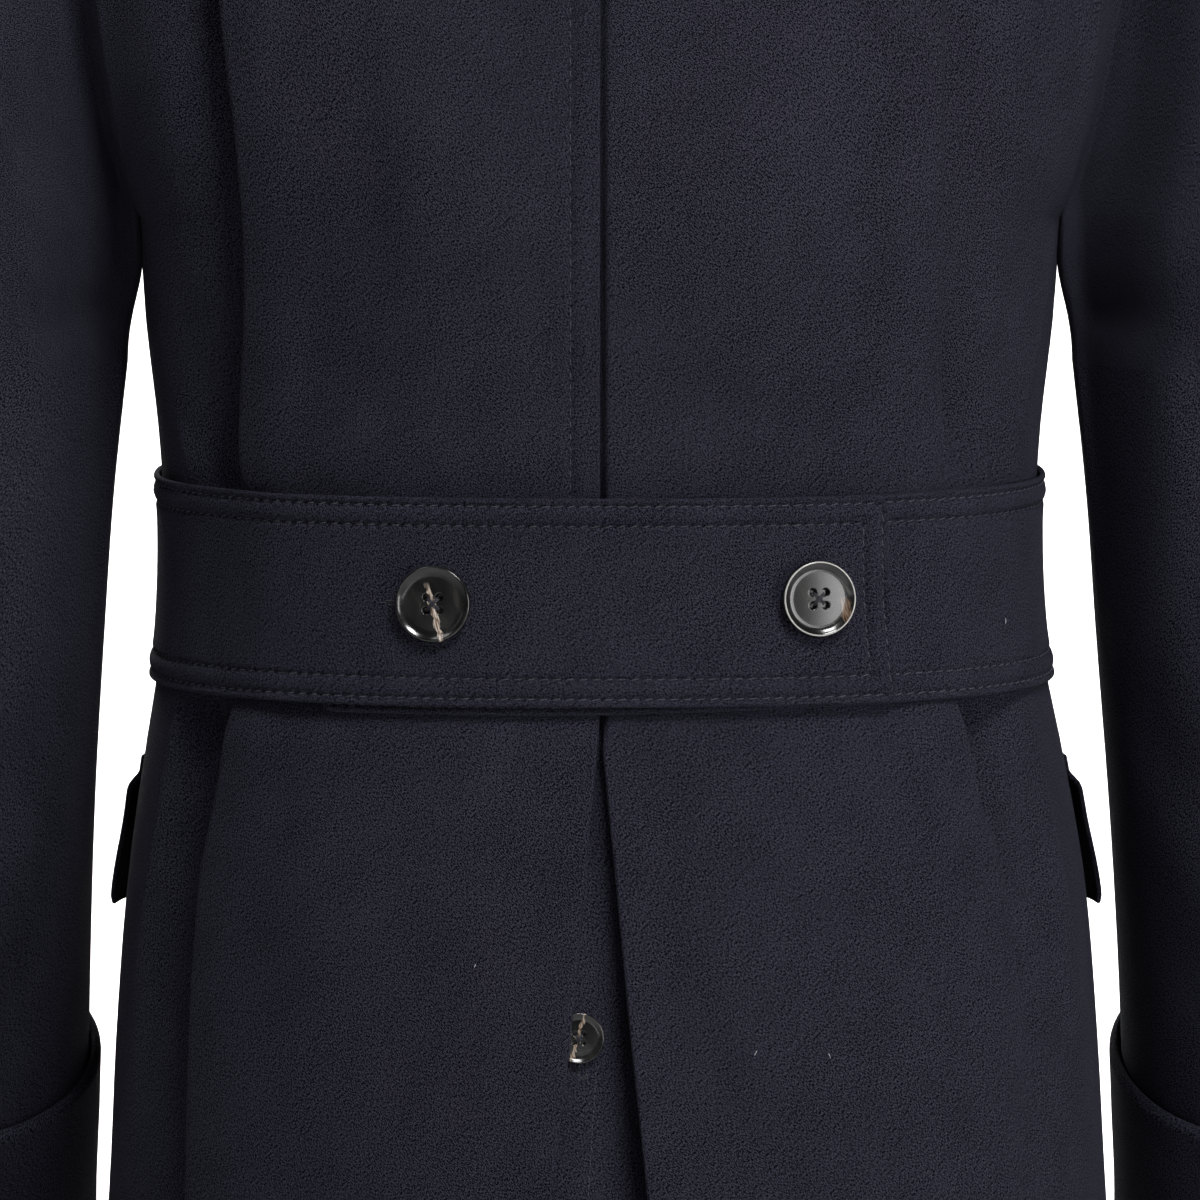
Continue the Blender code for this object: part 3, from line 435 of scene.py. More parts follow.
def shell(name, points, wall, mat, closed=False, outward=False, uv=None):
    """Closed cloth of a given wall with round rims. The grid is its outer face, or with outward
    its inner one. The rims are half circles of the wall's width, in three rows at each edge."""
    normal = normals_of(points, closed)
    if uv is None:
        step = np.linalg.norm(np.diff(points, axis=1), axis=-1)
        u = np.concatenate([np.zeros((len(points), 1)), np.cumsum(step, axis=1)], axis=1)
        rise = np.linalg.norm(np.diff(points, axis=0), axis=-1).mean(axis=1)
        v = np.concatenate([[0.0], np.cumsum(rise)])[:, None] + 0 * u
        u = u * (1 if points[..., 0].mean() > 0 else -1)
        uv = np.stack([u, v], axis=-1)
    half = np.broadcast_to(np.asarray(wall, float) / 2, points.shape[:2]).copy()
    middle = points + normal * (half if outward else -half)[..., None]
    grids = grown([middle, normal, half, uv])
    if not closed:
        grids = [np.swapaxes(g, 0, 1) for g in grown([np.swapaxes(g, 0, 1) for g in grids])]
    middle, normal, half, uv = grids
    rows, columns = middle.shape[:2]
    outer = (middle + normal * half[..., None]).reshape(-1, 3)
    inner = (middle - normal * half[..., None]).reshape(-1, 3)
    index = np.arange(rows * columns).reshape(rows, columns)
    rim = np.zeros((rows, columns), dtype=bool)
    rim[[0, -1]] = True
    if not closed:
        rim[:, [0, -1]] = True
    under = index.copy()
    under[~rim] = rows * columns + np.arange((~rim).sum())
    front = quads_of(index, closed).reshape(-1, 4)
    back = quads_of(under, closed).reshape(-1, 4)[:, ::-1]
    if closed:
        last = uv[:, :1] + np.array([1.0, 0]) * (uv[:, -1:, :1] * columns / (columns - 1.0))
        uv = np.concatenate([uv, last], axis=1)
    flat = quads_of(uv, False).reshape(-1, 4, 2)
    back_flat = flat[:, ::-1]
    raw = np.cross(np.gradient(middle, axis=1), np.gradient(middle, axis=0))
    if np.sum(raw * normal) < 0:
        front, back, flat, back_flat = [k[:, ::-1] for k in (front, back, flat, back_flat)]
    verts = np.concatenate([outer, inner[~rim.ravel()]])
    item = new_object(name, verts, np.concatenate([front, back]),
                      np.concatenate([flat, back_flat]).reshape(-1, 2), mat)
    across = np.linalg.norm(np.diff(points, axis=1), axis=-1).sum(axis=1)
    if closed:
        across = across + np.linalg.norm(points[:, 0] - points[:, -1], axis=-1)
    down = np.linalg.norm(np.diff(points, axis=0), axis=-1).sum(axis=0)
    item["cut"] = [float(across.max()), float(down.max()), float(grid_area(points, closed))]
    return item


def spread(*runs):
    """Numbers of several runs (start, end, step), joined end to end."""
    out = []
    for start, end, step in runs:
        count = max(2, int(round(abs(end - start) / (step * 1.0))) + 1)
        out.append(np.linspace(start, end, count)[:-1])
    return np.concatenate(out + [np.array([runs[-1][1]])])


def hook(piece, *nodes, slot="navy_wool"):
    """Ties a piece to the frame and hides the solids that it stands for."""
    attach(piece, "root")
    if nodes:
        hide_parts(*nodes)
    return piece


def declare(piece):
    """Reads the width, length and area of a piece's cut and returns the piece unchanged."""
    width, length, area = piece["cut"]
    width = round(width, 3)
    length = round(length, 3)
    return piece


def cloth(name, points, rests_on, nodes=None, wall=WALL, **form):
    """Sheet of cloth that stands for a solid, or for several, and hides them; the sheets it rests on
    are not used.
    """
    piece = hook(shell(name + "_cloth", points, wall, wool, **form), *(nodes or (name,)))
    return declare(piece)


# Small things set in rows on a surface
def joined(name, centre, along, up, template, faces, mat):
    """One mesh of many copies of a small template, each turned to its own directions."""
    side = unit(np.cross(up, along))
    up = np.cross(along, side)
    frames = np.stack([along, side, up], axis=1)
    verts = centre[:, None] + np.einsum("vk,nkc->nvc", template, frames)
    count = len(template)
    quads = faces[None] + (np.arange(len(centre)) * count)[:, None, None]
    uv = np.concatenate([template[:, :2]] * len(centre))[quads.reshape(-1)]
    return hook(new_object(name, verts.reshape(-1, 3), quads.reshape(-1, 4), uv, mat))


def capsule(length, radius, sag, sides=6, steps=6):
    """Short thread: a tube whose ends close and dip by sag. Points and quads."""
    t = np.linspace(-1, 1, steps + 1)
    ring = radius * np.sqrt(np.clip(1 - t**6, 0.02, 1))
    a = np.arange(sides) * 2 * math.pi / sides
    x = (t * length / 2)[:, None] + 0 * a
    y = ring[:, None] * np.cos(a)
    z = ring[:, None] * np.sin(a) - (sag * t**2)[:, None]
    points = np.stack([x, y, z], axis=-1).reshape(-1, 3)
    index = np.arange(len(points)).reshape(steps + 1, sides)
    return points, quads_of(index, True).reshape(-1, 4)


def pick(grid, rows, columns):
    """Values of a grid at fractional places."""
    i = np.clip(np.floor(rows).astype(int), 0, grid.shape[0] - 2)
    j = np.clip(np.floor(columns).astype(int), 0, grid.shape[1] - 2)
    u = (rows - i)[..., None]
    v = (columns - j)[..., None]
    return ((grid[i, j] * (1 - v) + grid[i, j + 1] * v) * (1 - u)
            + (grid[i + 1, j] * (1 - v) + grid[i + 1, j + 1] * v) * u)


def stitch_frames(grid, normals, rows, columns):
    """Centres, directions and normals of stitches given behind, at and ahead of each one."""
    behind, here, ahead = [pick(grid, rows[k], columns[k]) for k in range(3)]
    return here, unit(ahead - behind), unit(pick(normals, rows[1], columns[1]))


def turned(along, up, degrees):
    """Directions turned about the normals."""
    a = np.radians(degrees)
    return along * np.cos(a)[..., None] + np.cross(up, along) * np.sin(a)[..., None]


def sewn(name, frames, slant, length=0.0034, radius=0.00022, mat=None):
    """Row of topstitches from one or several sets of frames."""
    centre = np.concatenate([f[0] for f in frames])
    along = np.concatenate([f[1] for f in frames])
    up = np.concatenate([f[2] for f in frames])
    rng = np.random.default_rng(len(centre))
    along = turned(along, up, slant + rng.normal(0, 2.5, len(centre)))
    centre = centre + up * 0.00012
    template, faces = capsule(length, radius, 0.00035)
    return joined(name, centre, along, up, template, faces, mat or thread)


# Materials
def start_material(name, roughness, specular):
    """New material, its node tree and its shader."""
    mat = bpy.data.materials.new(name)
    mat.use_nodes = True
    shader = mat.node_tree.nodes["Principled BSDF"]
    shader.inputs["Roughness"].default_value = roughness
    shader.inputs["Specular IOR Level"].default_value = specular
    return mat, mat.node_tree, shader


def on_map(tree, group):
    """A node group fed with the piece's own map in metres."""
    uv = tree.nodes.new("ShaderNodeUVMap")
    uv.uv_map = "cloth"
    node = tree.nodes.new("ShaderNodeGroup")
    node.node_tree = group
    tree.links.new(uv.outputs[0], node.inputs["Vector"])
    return node


def link_math(tree, kind, a, b=0.0, clamp=False):
    """Math node on sockets or numbers."""
    op = tree.nodes.new("ShaderNodeMath")
    op.operation = kind
    op.use_clamp = clamp
    for k, value in enumerate((a, b)):
        if isinstance(value, (int, float)):
            op.inputs[k].default_value = value
        else:
            tree.links.new(value, op.inputs[k])
    return op.outputs[0]


def blend(tree, a, share, b):
    """Mix of two values: a by its share and b by the rest."""
    return link_math(tree, "ADD", link_math(tree, "MULTIPLY", a, share),
                     link_math(tree, "MULTIPLY", b, 1 - share))


def link_noise(tree, source, scale, turn, detail, warp=0.0):
    """Noise on a source vector, stretched and turned."""
    place = tree.nodes.new("ShaderNodeMapping")
    place.vector_type = "TEXTURE"
    place.inputs["Rotation"].default_value = (0, 0, math.radians(turn))
    place.inputs["Scale"].default_value = (1 / scale[0], 1 / scale[1], 1 / scale[0])
    tree.links.new(source, place.inputs["Vector"])
    tex = tree.nodes.new("ShaderNodeTexNoise")
    tex.inputs["Scale"].default_value = 1.0
    tex.inputs["Detail"].default_value = detail
    tex.inputs["Distortion"].default_value = warp
    tree.links.new(place.outputs[0], tex.inputs["Vector"])
    return tex.outputs[0]


def new_group(name, inputs, outputs):
    """Empty node group with sockets."""
    group = bpy.data.node_groups.new(name, "ShaderNodeTree")
    for word, kind in inputs:
        group.interface.new_socket(word, in_out="INPUT", socket_type=kind)
    for word in outputs:
        group.interface.new_socket(word, in_out="OUTPUT", socket_type="NodeSocketFloat")
    return group, group.nodes.new("NodeGroupInput"), group.nodes.new("NodeGroupOutput")


NAP_TURN = 48


def wool_group():
    """Brushed wool from a map in metres. Tone is a combed nap and tufts over broad blotches."""
    group, source, sink = new_group("brushed_wool", [("Vector", "NodeSocketVector")],
                                    ["Tone", "Height"])
    vector = source.outputs[0]
    nap = link_noise(group, vector, (1100, 2400), NAP_TURN, 1.0)
    tuft = link_noise(group, vector, (500, 1000), NAP_TURN, 1.0)
    blotch = link_noise(group, vector, (60, 42), 20, 2.0)
    broad = link_noise(group, vector, (14, 9), 0, 1.0)
    fine = blend(group, nap, 0.88, tuft)
    group.links.new(fine, sink.inputs["Height"])
    tone = blend(group, fine, 0.91, blend(group, blotch, 0.55, broad))
    group.links.new(tone, sink.inputs["Tone"])
    return group


def horn_group():
    """Horn from a button's own map in metres: a cloudy tone, a fibrous streak along a slanted line,
    which fades out above Top and below Foot, and a thin ring at radius Rim for a painted highlight."""
    words = ("Slope", "Offset", "Width", "Top", "Foot", "Rim")
    group, source, sink = new_group(
        "streaked_horn",
        [("Vector", "NodeSocketVector")] + [(word, "NodeSocketFloat") for word in words],
        ["Cloud", "Streak", "Fibre", "Ring"])
    vector = source.outputs["Vector"]
    slope, offset, width, top, foot, rim = [source.outputs[word] for word in words]

    def op(kind, a, b=0.0, clamp=False):
        return link_math(group, kind, a, b, clamp)
    cloud = link_noise(group, vector, (160, 60), 25, 3.0, 0.6)
    ragged = link_noise(group, vector, (420, 260), 0, 4.0, 0.5)
    fibre = link_noise(group, vector, (1500, 230), 14, 3.0, 0.4)
    apart = group.nodes.new("ShaderNodeSeparateXYZ")
    group.links.new(vector, apart.inputs[0])
    u, v = apart.outputs[:2]
    across = op("SUBTRACT", u, op("ADD", op("MULTIPLY", v, slope), offset))
    wobble = op("MULTIPLY", op("SUBTRACT", ragged, 0.5), 0.0046)
    share = op("DIVIDE", op("ABSOLUTE", op("ADD", across, wobble)), width)
    below = op("MULTIPLY", op("SUBTRACT", top, v), 300.0, True)
    above = op("MULTIPLY", op("SUBTRACT", v, foot), 500.0, True)
    core = op("SUBTRACT", op("ADD", 0.55, fibre), share, True)
    core = op("MULTIPLY", op("MULTIPLY", core, 2.2, True), op("MULTIPLY", below, above))
    reach = group.nodes.new("ShaderNodeVectorMath")
    reach.operation = "LENGTH"
    group.links.new(vector, reach.inputs[0])
    # Painted highlight: a thin ring, 0.36 mm either side of radius Rim, that stands for the rim's
    # reflection of the lights.
    off = op("ABSOLUTE", op("SUBTRACT", reach.outputs["Value"], rim))
    ring = op("MULTIPLY", op("SUBTRACT", 0.00036, off), 5000.0, True)
    for word, value in (("Cloud", cloud), ("Streak", core), ("Fibre", fibre), ("Ring", ring)):
        group.links.new(value, sink.inputs[word])
    return group


WOOL = wool_group()
HORN = horn_group()


def ramp_of(tree, source, stops):
    """Colour ramp through (place, colour) stops."""
    ramp = tree.nodes.new("ShaderNodeValToRGB")
    bands = ramp.color_ramp.elements
    while len(bands) < len(stops):
        bands.new(1.0)
    for band, (place, colour) in zip(bands, stops):
        band.position = place
        band.color = (*colour, 1)
    tree.links.new(source, ramp.inputs[0])
    return ramp.outputs[0]


def mix_of(tree, factor, base):
    """Colour mix node over a base colour. Its second colour is set by the caller."""
    mix = tree.nodes.new("ShaderNodeMix")
    mix.data_type = "RGBA"
    tree.links.new(factor, mix.inputs["Factor"])
    tree.links.new(base, mix.inputs["A"])
    return mix


def wool_material(name, dark, light):
    """Navy wool whose tone runs from dark to light."""
    mat, tree, shader = start_material(name, 0.95, 0.03)
    wool = on_map(tree, WOOL)
    colour = ramp_of(tree, wool.outputs["Tone"], [(0.437, dark), (0.563, light)])
    tree.links.new(colour, shader.inputs["Base Color"])
    bump = tree.nodes.new("ShaderNodeBump")
    bump.inputs["Strength"].default_value = 0.75
    bump.inputs["Distance"].default_value = 0.0005
    tree.links.new(wool.outputs["Height"], bump.inputs["Height"])
    tree.links.new(bump.outputs[0], shader.inputs["Normal"])
    shader.inputs["Sheen Weight"].default_value = 0.012
    shader.inputs["Sheen Roughness"].default_value = 0.5
    shader.inputs["Sheen Tint"].default_value = (0.60, 0.62, 0.85, 1)
    return mat


def thread_material(name, dark, light):
    """Twisted thread: a fine noise between two tones."""
    mat, tree, shader = start_material(name, 0.6, 0.25)
    coord = tree.nodes.new("ShaderNodeTexCoord")
    twist = link_noise(tree, coord.outputs["Object"], (2600, 2600), 0, 1.0)
    colour = ramp_of(tree, twist, [(0.35, dark), (0.65, light)])
    tree.links.new(colour, shader.inputs["Base Color"])
    return mat


def horn_material(name, streak, brown, pale, rim=1.0):
    """Polished black horn with a fibrous streak from brown to pale, and a pale ring at radius rim
    that is a painted highlight for the rim's reflection of the lights. The streak is its slope,
    offset, half width, and where it fades above and below."""
    mat, tree, shader = start_material(name, 0.17, 0.5)
    horn = on_map(tree, HORN)
    for word, value in zip(("Slope", "Offset", "Width", "Top", "Foot"), streak):
        horn.inputs[word].default_value = value
    horn.inputs["Rim"].default_value = rim
    ground = ramp_of(tree, horn.outputs["Cloud"], [(0.35, (0.004, 0.004, 0.004)),
                                                   (0.60, (0.010, 0.010, 0.010)),
                                                   (0.78, (0.022, 0.020, 0.018))])
    fibres = ramp_of(tree, horn.outputs["Fibre"], [(0.36, brown), (0.60, pale)])
    streaked = mix_of(tree, horn.outputs["Streak"], ground)
    tree.links.new(fibres, streaked.inputs["B"])
    # Painted highlight: pale grey on the ring at radius rim.
    rim_highlighted = mix_of(tree, horn.outputs["Ring"], streaked.outputs["Result"])
    rim_highlighted.inputs["B"].default_value = (0.27, 0.26, 0.25, 1)
    tree.links.new(rim_highlighted.outputs["Result"], shader.inputs["Base Color"])
    return mat


wool = wool_material("brushed_navy_wool", (0.0012, 0.0012, 0.0032), (0.0250, 0.0243, 0.0350))
thread = thread_material("topstitch_thread", (0.012, 0.013, 0.018), (0.060, 0.063, 0.075))
# Darker copy of the topstitch thread: painted shade for stitches sunk in their puckers, used on the
# inner belt rows and the centre seam.
shaded_topstitch_thread = thread_material("shaded_sunk_topstitch_thread", (0.008, 0.008, 0.011), (0.050, 0.052, 0.062))
dark_thread = thread_material("button_thread", (0.004, 0.004, 0.006), (0.030, 0.030, 0.038))


# Back
# Soft troughs (below 0) and ridges: start out and height, end out and height, width, depth
BACK_CREASES = [
    (0.1500, -0.4560, 0.1655, -0.4905, 0.0075, -0.0028),
    (0.1655, -0.4905, 0.1765, -0.5300, 0.0080, -0.0022),
    (0.1765, -0.5300, 0.1830, -0.5800, 0.0080, -0.0015),
    (0.1840, -0.2900, 0.1670, -0.3515, 0.0030, -0.0009),
    (0.1670, -0.3515, 0.1545, -0.3790, 0.0030, -0.0012),
    (0.1700, -0.3300, 0.1600, -0.3770, 0.0030, 0.0010),
    (0.1000, -0.1300, 0.0900, -0.3000, 0.0140, -0.0022),
    (0.0760, -0.1400, 0.0700, -0.3200, 0.0120, 0.0012),
    (-0.1060, -0.1500, -0.0980, -0.3300, 0.0130, -0.0022),
    (-0.1240, -0.1600, -0.1180, -0.3400, 0.0090, 0.0014),
    (-0.1365, -0.3300, -0.1370, -0.3800, 0.0030, -0.0022),
    (0.168, -0.300, 0.158, -0.375, 0.008, -0.0022),
    (0.120, -0.250, 0.112, -0.340, 0.018, -0.0012),
    (0.060, -0.210, 0.070, -0.330, 0.026, 0.0010),
    (0.098, -0.340, 0.104, -0.376, 0.010, 0.0008),
    (-0.150, -0.280, -0.143, -0.378, 0.012, -0.0028),
    (-0.170, -0.270, -0.160, -0.376, 0.007, -0.0016),
    (-0.095, -0.220, -0.088, -0.330, 0.024, -0.0012),
    (-0.055, -0.240, -0.050, -0.350, 0.020, 0.0009),
    (-0.118, -0.200, -0.120, -0.340, 0.014, 0.0015),
    (0.112, -0.470, 0.120, -0.560, 0.016, 0.0016),
    (0.168, -0.470, 0.173, -0.560, 0.008, -0.0025),
    (0.080, -0.500, 0.085, -0.640, 0.024, -0.0012),
    (0.045, -0.480, 0.050, -0.600, 0.015, 0.0010),
    (-0.160, -0.480, -0.176, -0.540, 0.006, 0.0016),
    (-0.128, -0.475, -0.132, -0.560, 0.014, 0.0016),
    (-0.085, -0.500, -0.095, -0.650, 0.026, -0.0012),
    (-0.172, -0.470, -0.180, -0.530, 0.006, -0.0015),
    (-0.050, -0.490, -0.060, -0.620, 0.018, 0.0010),
    (0.110, -0.640, 0.125, -0.900, 0.022, -0.0030),
    (0.060, -0.680, 0.075, -1.050, 0.025, 0.0030),
    (-0.120, -0.640, -0.135, -0.930, 0.022, -0.0030),
    (-0.070, -0.680, -0.085, -1.050, 0.025, 0.0030),
]
FRONT_CREASES = [
    (0.150, -0.290, 0.140, -0.380, 0.010, -0.0022),
    (0.110, -0.300, 0.100, -0.420, 0.016, 0.0014),
    (0.128, -0.470, 0.150, -0.700, 0.012, -0.0020),
    (0.060, -0.640, 0.070, -1.000, 0.020, 0.0025),
    (0.120, -0.800, 0.130, -1.080, 0.022, -0.0028),
    (-0.148, -0.285, -0.142, -0.390, 0.012, -0.0020),
    (-0.108, -0.310, -0.104, -0.400, 0.018, 0.0012),
    (-0.130, -0.480, -0.148, -0.680, 0.010, -0.0018),
    (-0.118, -0.790, -0.135, -1.060, 0.020, -0.0026),
]


def crease(x, z, rows):
    """Sum of soft troughs and ridges: each is its depth times a bell of the distance from a
    straight line, eased in at the line's start and out at its end."""
    total = 0 * (x + z)
    for x0, z0, x1, z1, width, depth in rows:
        dx, dz = x1 - x0, z1 - z0
        size = math.hypot(dx, dz)
        a = ((x - x0) * dx + (z - z0) * dz) / size**2
        d = ((x - x0) * dz - (z - z0) * dx) / size
        total = total + depth * mound(d, width) * ease(a, -0.2, 0.25) * (1 - ease(a, 0.7, 1.2))
    return total


def pucker(distance, run, depth):
    """Cloth pulled in along a row of stitches: a narrow bell across the row, plus a wider one
    times the squared beat of a cosine along it, which is deepest at each hole."""
    beat = 0.5 + 0.5 * np.cos(2 * math.pi * run / STITCH_PITCH)
    return -depth * (0.5 * mound(distance, 0.0010) + 0.7 * mound(distance, 0.0018) * beat**2)


def dressed(base, lift, slide=None):
    """Grid moved out along its normals by lift and across by slide."""
    out = base + normals_of(base) * lift[..., None]
    if slide is not None:
        out = out + unit(np.gradient(base, axis=1)) * slide[..., None]
    return out


CB_STITCH_X = 0.0010 + 0.0105
ARMHOLE_SINK = 0.0170
FOLD_LEAST = 0.0015
FOLD_REACH = 0.0175
LAP_STEP = WALL + 0.0010


def behind(angle):
    """1 on the part of the armhole that is seen from behind, faded at the underarm and the top."""
    return ease(angle, 0.05, 0.45) * (1 - ease(angle, 1.9, 2.7))


def back_points(side, s, t):
    """Back panel with its long fold, lapped seam, vent edge, creases and puckers."""
    column = 1 if side > 0 else 2
    base = back_surface(side, s[None, :], t[:, None])
    x, z = base[..., 0], base[..., 2]
    out = x * side - smooth(FOLD_LINE, column, z)
    depth = np.maximum(smooth(FOLD_DEPTH, column, z), FOLD_LEAST)
    valley = ease(out, -0.0018, 0.0030) * mound(np.maximum(out - 0.003, 0), FOLD_REACH)
    valley = valley * (1 - ease(s, 0.84, 0.995))[None, :]
    lift = depth * (0.13 * mound(out + 0.009, 0.012) - 1.05 * valley)
    slide = depth * 0.22 * mound(out + 0.001, 0.004)
    if side < 0:
        lapped = ease(z, -0.478, -0.464)
        lift = lift - LAP_STEP * ease(x, -0.0034, -0.0004) * lapped
        lift = lift - 0.0020 * mound(x + 0.0004, 0.0010) * lapped
    edge = smooth(CENTRE_EDGES, column, z)
    lift = lift + 0.0012 * ease(-z, 0.470, 0.520) * mound(x - edge, 0.012)
    lift = lift + crease(x, z, BACK_CREASES) * (1 - ease(s, 0.93, 0.998))[None, :]
    # The belt presses the cloth in, and it swells a little beside the belt
    for level, sign in ((BELT_TOP_Z, 1), (BELT_BOTTOM_Z, -1)):
        lift = lift + 0.0008 * mound((z - level) * sign - 0.018, 0.010)
        lift = lift - 0.0005 * mound(z - level, 0.006)
    if side > 0:
        above = ease(z, -0.47, -0.455)
        puffed = pucker(x - CB_STITCH_X, z, 0.00100) + 0.00050 * mound(x - 0.0060, 0.0030)
        lift = lift + puffed * above
    points = dressed(base, lift, slide)
    near = ease(s, 0.966, 1.0)[None, :]
    points[..., 1] -= ARMHOLE_SINK / 2 * near * behind(math.pi * (t - 1))[:, None]
    return points


def panel_rows(fine):
    """t of a panel's rows: coarse at the thigh, fine from there to the armpit, then to the top."""
    z = spread((HEM_Z, -0.67, 0.009), (-0.67, ARMPIT_Z, fine))
    upper = spread((1.0, 1.5, 0.010 if fine < 0.002 else 0.016), (1.5, 1.998, 0.025))[1:]
    return np.concatenate([(z - HEM_Z) / (ARMPIT_Z - HEM_Z), upper])


def sew_centre_seam(points):
    """Row of stitches down the left back, a fixed distance out, from the top to the belt."""
    z = np.arange(math.ceil(-0.458 / STITCH_PITCH), 0) * STITCH_PITCH + STITCH_PITCH / 2
    mean_z = points[:, 3, 2]
    near = points[:, :24, 0]
    where = np.array([np.interp(CB_STITCH_X, row, np.arange(len(row))) for row in near])
    rows = [np.interp(z + shift, mean_z, np.arange(len(mean_z))) for shift in STITCH_STEPS]
    columns = [np.interp(row, np.arange(len(where)), where) for row in rows]
    frames = stitch_frames(points, normals_of(points), rows, columns)
    frames = [f[z > -0.4] for f in frames]
    # These stitches take the darker thread, painted shade for stitches sunk in the puckers.
    sewn("centre_seam_stitches", [frames], 4.0, length=0.0028, radius=0.00016, mat=shaded_topstitch_thread)


def make_backs():
    """Both back panels, and the row of stitches down the centre seam."""
    for side, name in SIDES:
        s = spread((0.0, 0.032, 0.0030), (0.032, 0.095, 0.0050), (0.095, 0.56, 0.018),
                   (0.56, 0.66, 0.0036), (0.66, 0.9995, 0.0085))
        t = panel_rows(0.00150 if side > 0 else 0.0030)
        points = back_points(side, s, t)
        cloth("back_" + name, points, ["back_right_cloth" if side > 0 else "belt_right_cloth"])
        if side > 0:
            sew_centre_seam(points)


def vent_underlay(x, z):
    """Cloth behind the vent: close behind the left edge, deeper behind the right one."""
    deep = 0.0052 + 0.0110 * ease(-x, -0.012, 0.024) * ease(-z, 0.470, 0.600)
    return on_body(angle_at(x, z), z, -deep)


def make_vent():
    """The cloth that fills the vent, with a row of stitches and the end of a buttonhole."""
    z = spread((-1.110, -0.70, 0.012), (-0.70, -0.450, 0.0025))[:, None]
    half = 0.020 + 0.055 * ease(-z, 0.45, 1.12)
    u = np.linspace(-1, 1, 61)[None, :]
    points = vent_underlay(u * half, z + 0 * u)
    cloth("vent_underlay", points, ["back_left_cloth", "back_right_cloth"])
    line_z = np.arange(-0.668, -0.585, STITCH_PITCH * 0.6)

    def place(x, level):
        here = vent_underlay(x, level)
        up = unit(np.cross(vent_underlay(x, level + 1e-3) - here,
                           vent_underlay(x + 1e-3, level) - here))
        return here, up * np.sign(up[..., 1:2])
    x = 0.0020 + 0.0028 * (-0.609 - line_z) / 0.044
    here, up = place(x, line_z)
    ahead = place(x - 0.0001, line_z + 0.0016)[0]
    sewn("vent_edge_stitches", [(here, unit(ahead - here), up)], 0.0, length=0.0020, radius=0.00012)
    # End of the buttonhole below the button: dense stitches round a keyhole
    turn = np.linspace(-0.15, math.pi + 0.15, 12)
    kx = 0.0068 + 0.0016 * np.concatenate([np.ones(7), np.cos(turn), -np.ones(7)])
    kz = np.concatenate([np.linspace(-0.5965, -0.6035, 7), -0.6035 - 0.0018 * np.sin(turn),
                         np.linspace(-0.6035, -0.5965, 7)])
    here, up = place(kx, kz)
    centre = place(np.full_like(kx, 0.0068), np.maximum(kz, -0.6035))[0]
    sewn("vent_buttonhole_stitches", [(here, unit(here - centre), up)], 0.0, length=0.0016,
         radius=0.00017, mat=dark_thread)


# Fronts
def make_fronts():
    """Both front panels."""
    for side, name in SIDES:
        s = spread((0.0, 0.9997, 0.0155))
        t = np.concatenate([spread((0.0, 1.0, 0.0125)), spread((1.0, 1.997, 0.025))[1:]])
        base = front_surface(side, s[None, :], t[:, None])
        x, z = base[..., 0], base[..., 2]
        lift = crease(x, z, FRONT_CREASES) * ease(-base[..., 1], 0.02, 0.05)
        cloth("front_" + name, dressed(base, front_lift(side, x, z) + lift),
              ["back_%s_cloth" % name] + (["front_right_cloth"] if side > 0 else []))


def on_front(side, s, z, lift):
    """Grid laid on the front panel at shares s and heights z."""
    t = (z - HEM_Z) / (ARMPIT_Z - HEM_Z)
    base = front_surface(side, s[None, :], t[:, None])
    lift = lift + front_lift(side, base[..., 0], base[..., 2])
    return dressed(base, lift)


def make_pockets():
    """Patch pockets, each with a flap whose bottom edge stands off."""
    for side, name in SIDES:
        z = spread((-0.745, -0.512, 0.006))
        s = np.linspace(0.49, 0.81, 40)
        points = on_front(side, s, z, 0.0006 + 0 * z[:, None])
        cloth("pocket_" + name, points, ["front_%s_cloth" % name], outward=True)
        z = spread((-0.5580, -0.4980, 0.0020))
        s = np.linspace(0.475, 0.825, 44)
        lift = 0.0046 + 0.0020 * ease(-z, 0.520, 0.556) - 0.0007 * ease(-z, 0.5555, 0.5580)
        lift = (lift - 0.0040 * ease(z, -0.512, -0.5035))[:, None]
        points = on_front(side, s, z, lift)
        cloth("flap_" + name, points, ["front_%s_cloth" % name], outward=True)


# Sleeves and cuffs
# Creases of the left sleeve: turn and share of the way down, at the start and end, width, depth
SLEEVE_CREASES = [
    (1.2, 1.05, 2.2, 1.22, 0.10, -0.0030),
    (1.7, 1.20, 2.6, 1.32, 0.09, 0.0022),
    (0.6, 1.38, 1.8, 1.50, 0.07, -0.0032),
    (0.9, 1.52, 2.3, 1.60, 0.08, 0.0024),
    (3.6, 1.42, 5.2, 1.50, 0.09, -0.0036),
    (3.9, 1.56, 5.4, 1.62, 0.08, 0.0022),
    (0.3, 0.72, 1.4, 0.95, 0.09, -0.0030),
    (4.4, 0.70, 5.9, 0.92, 0.10, -0.0028),
    (1.0, 1.68, 2.4, 1.74, 0.06, -0.0016),
]
# Angles of the seams between the top sleeve and the under sleeve
SLEEVE_SEAMS = [math.radians(90.0), math.radians(288.0)]


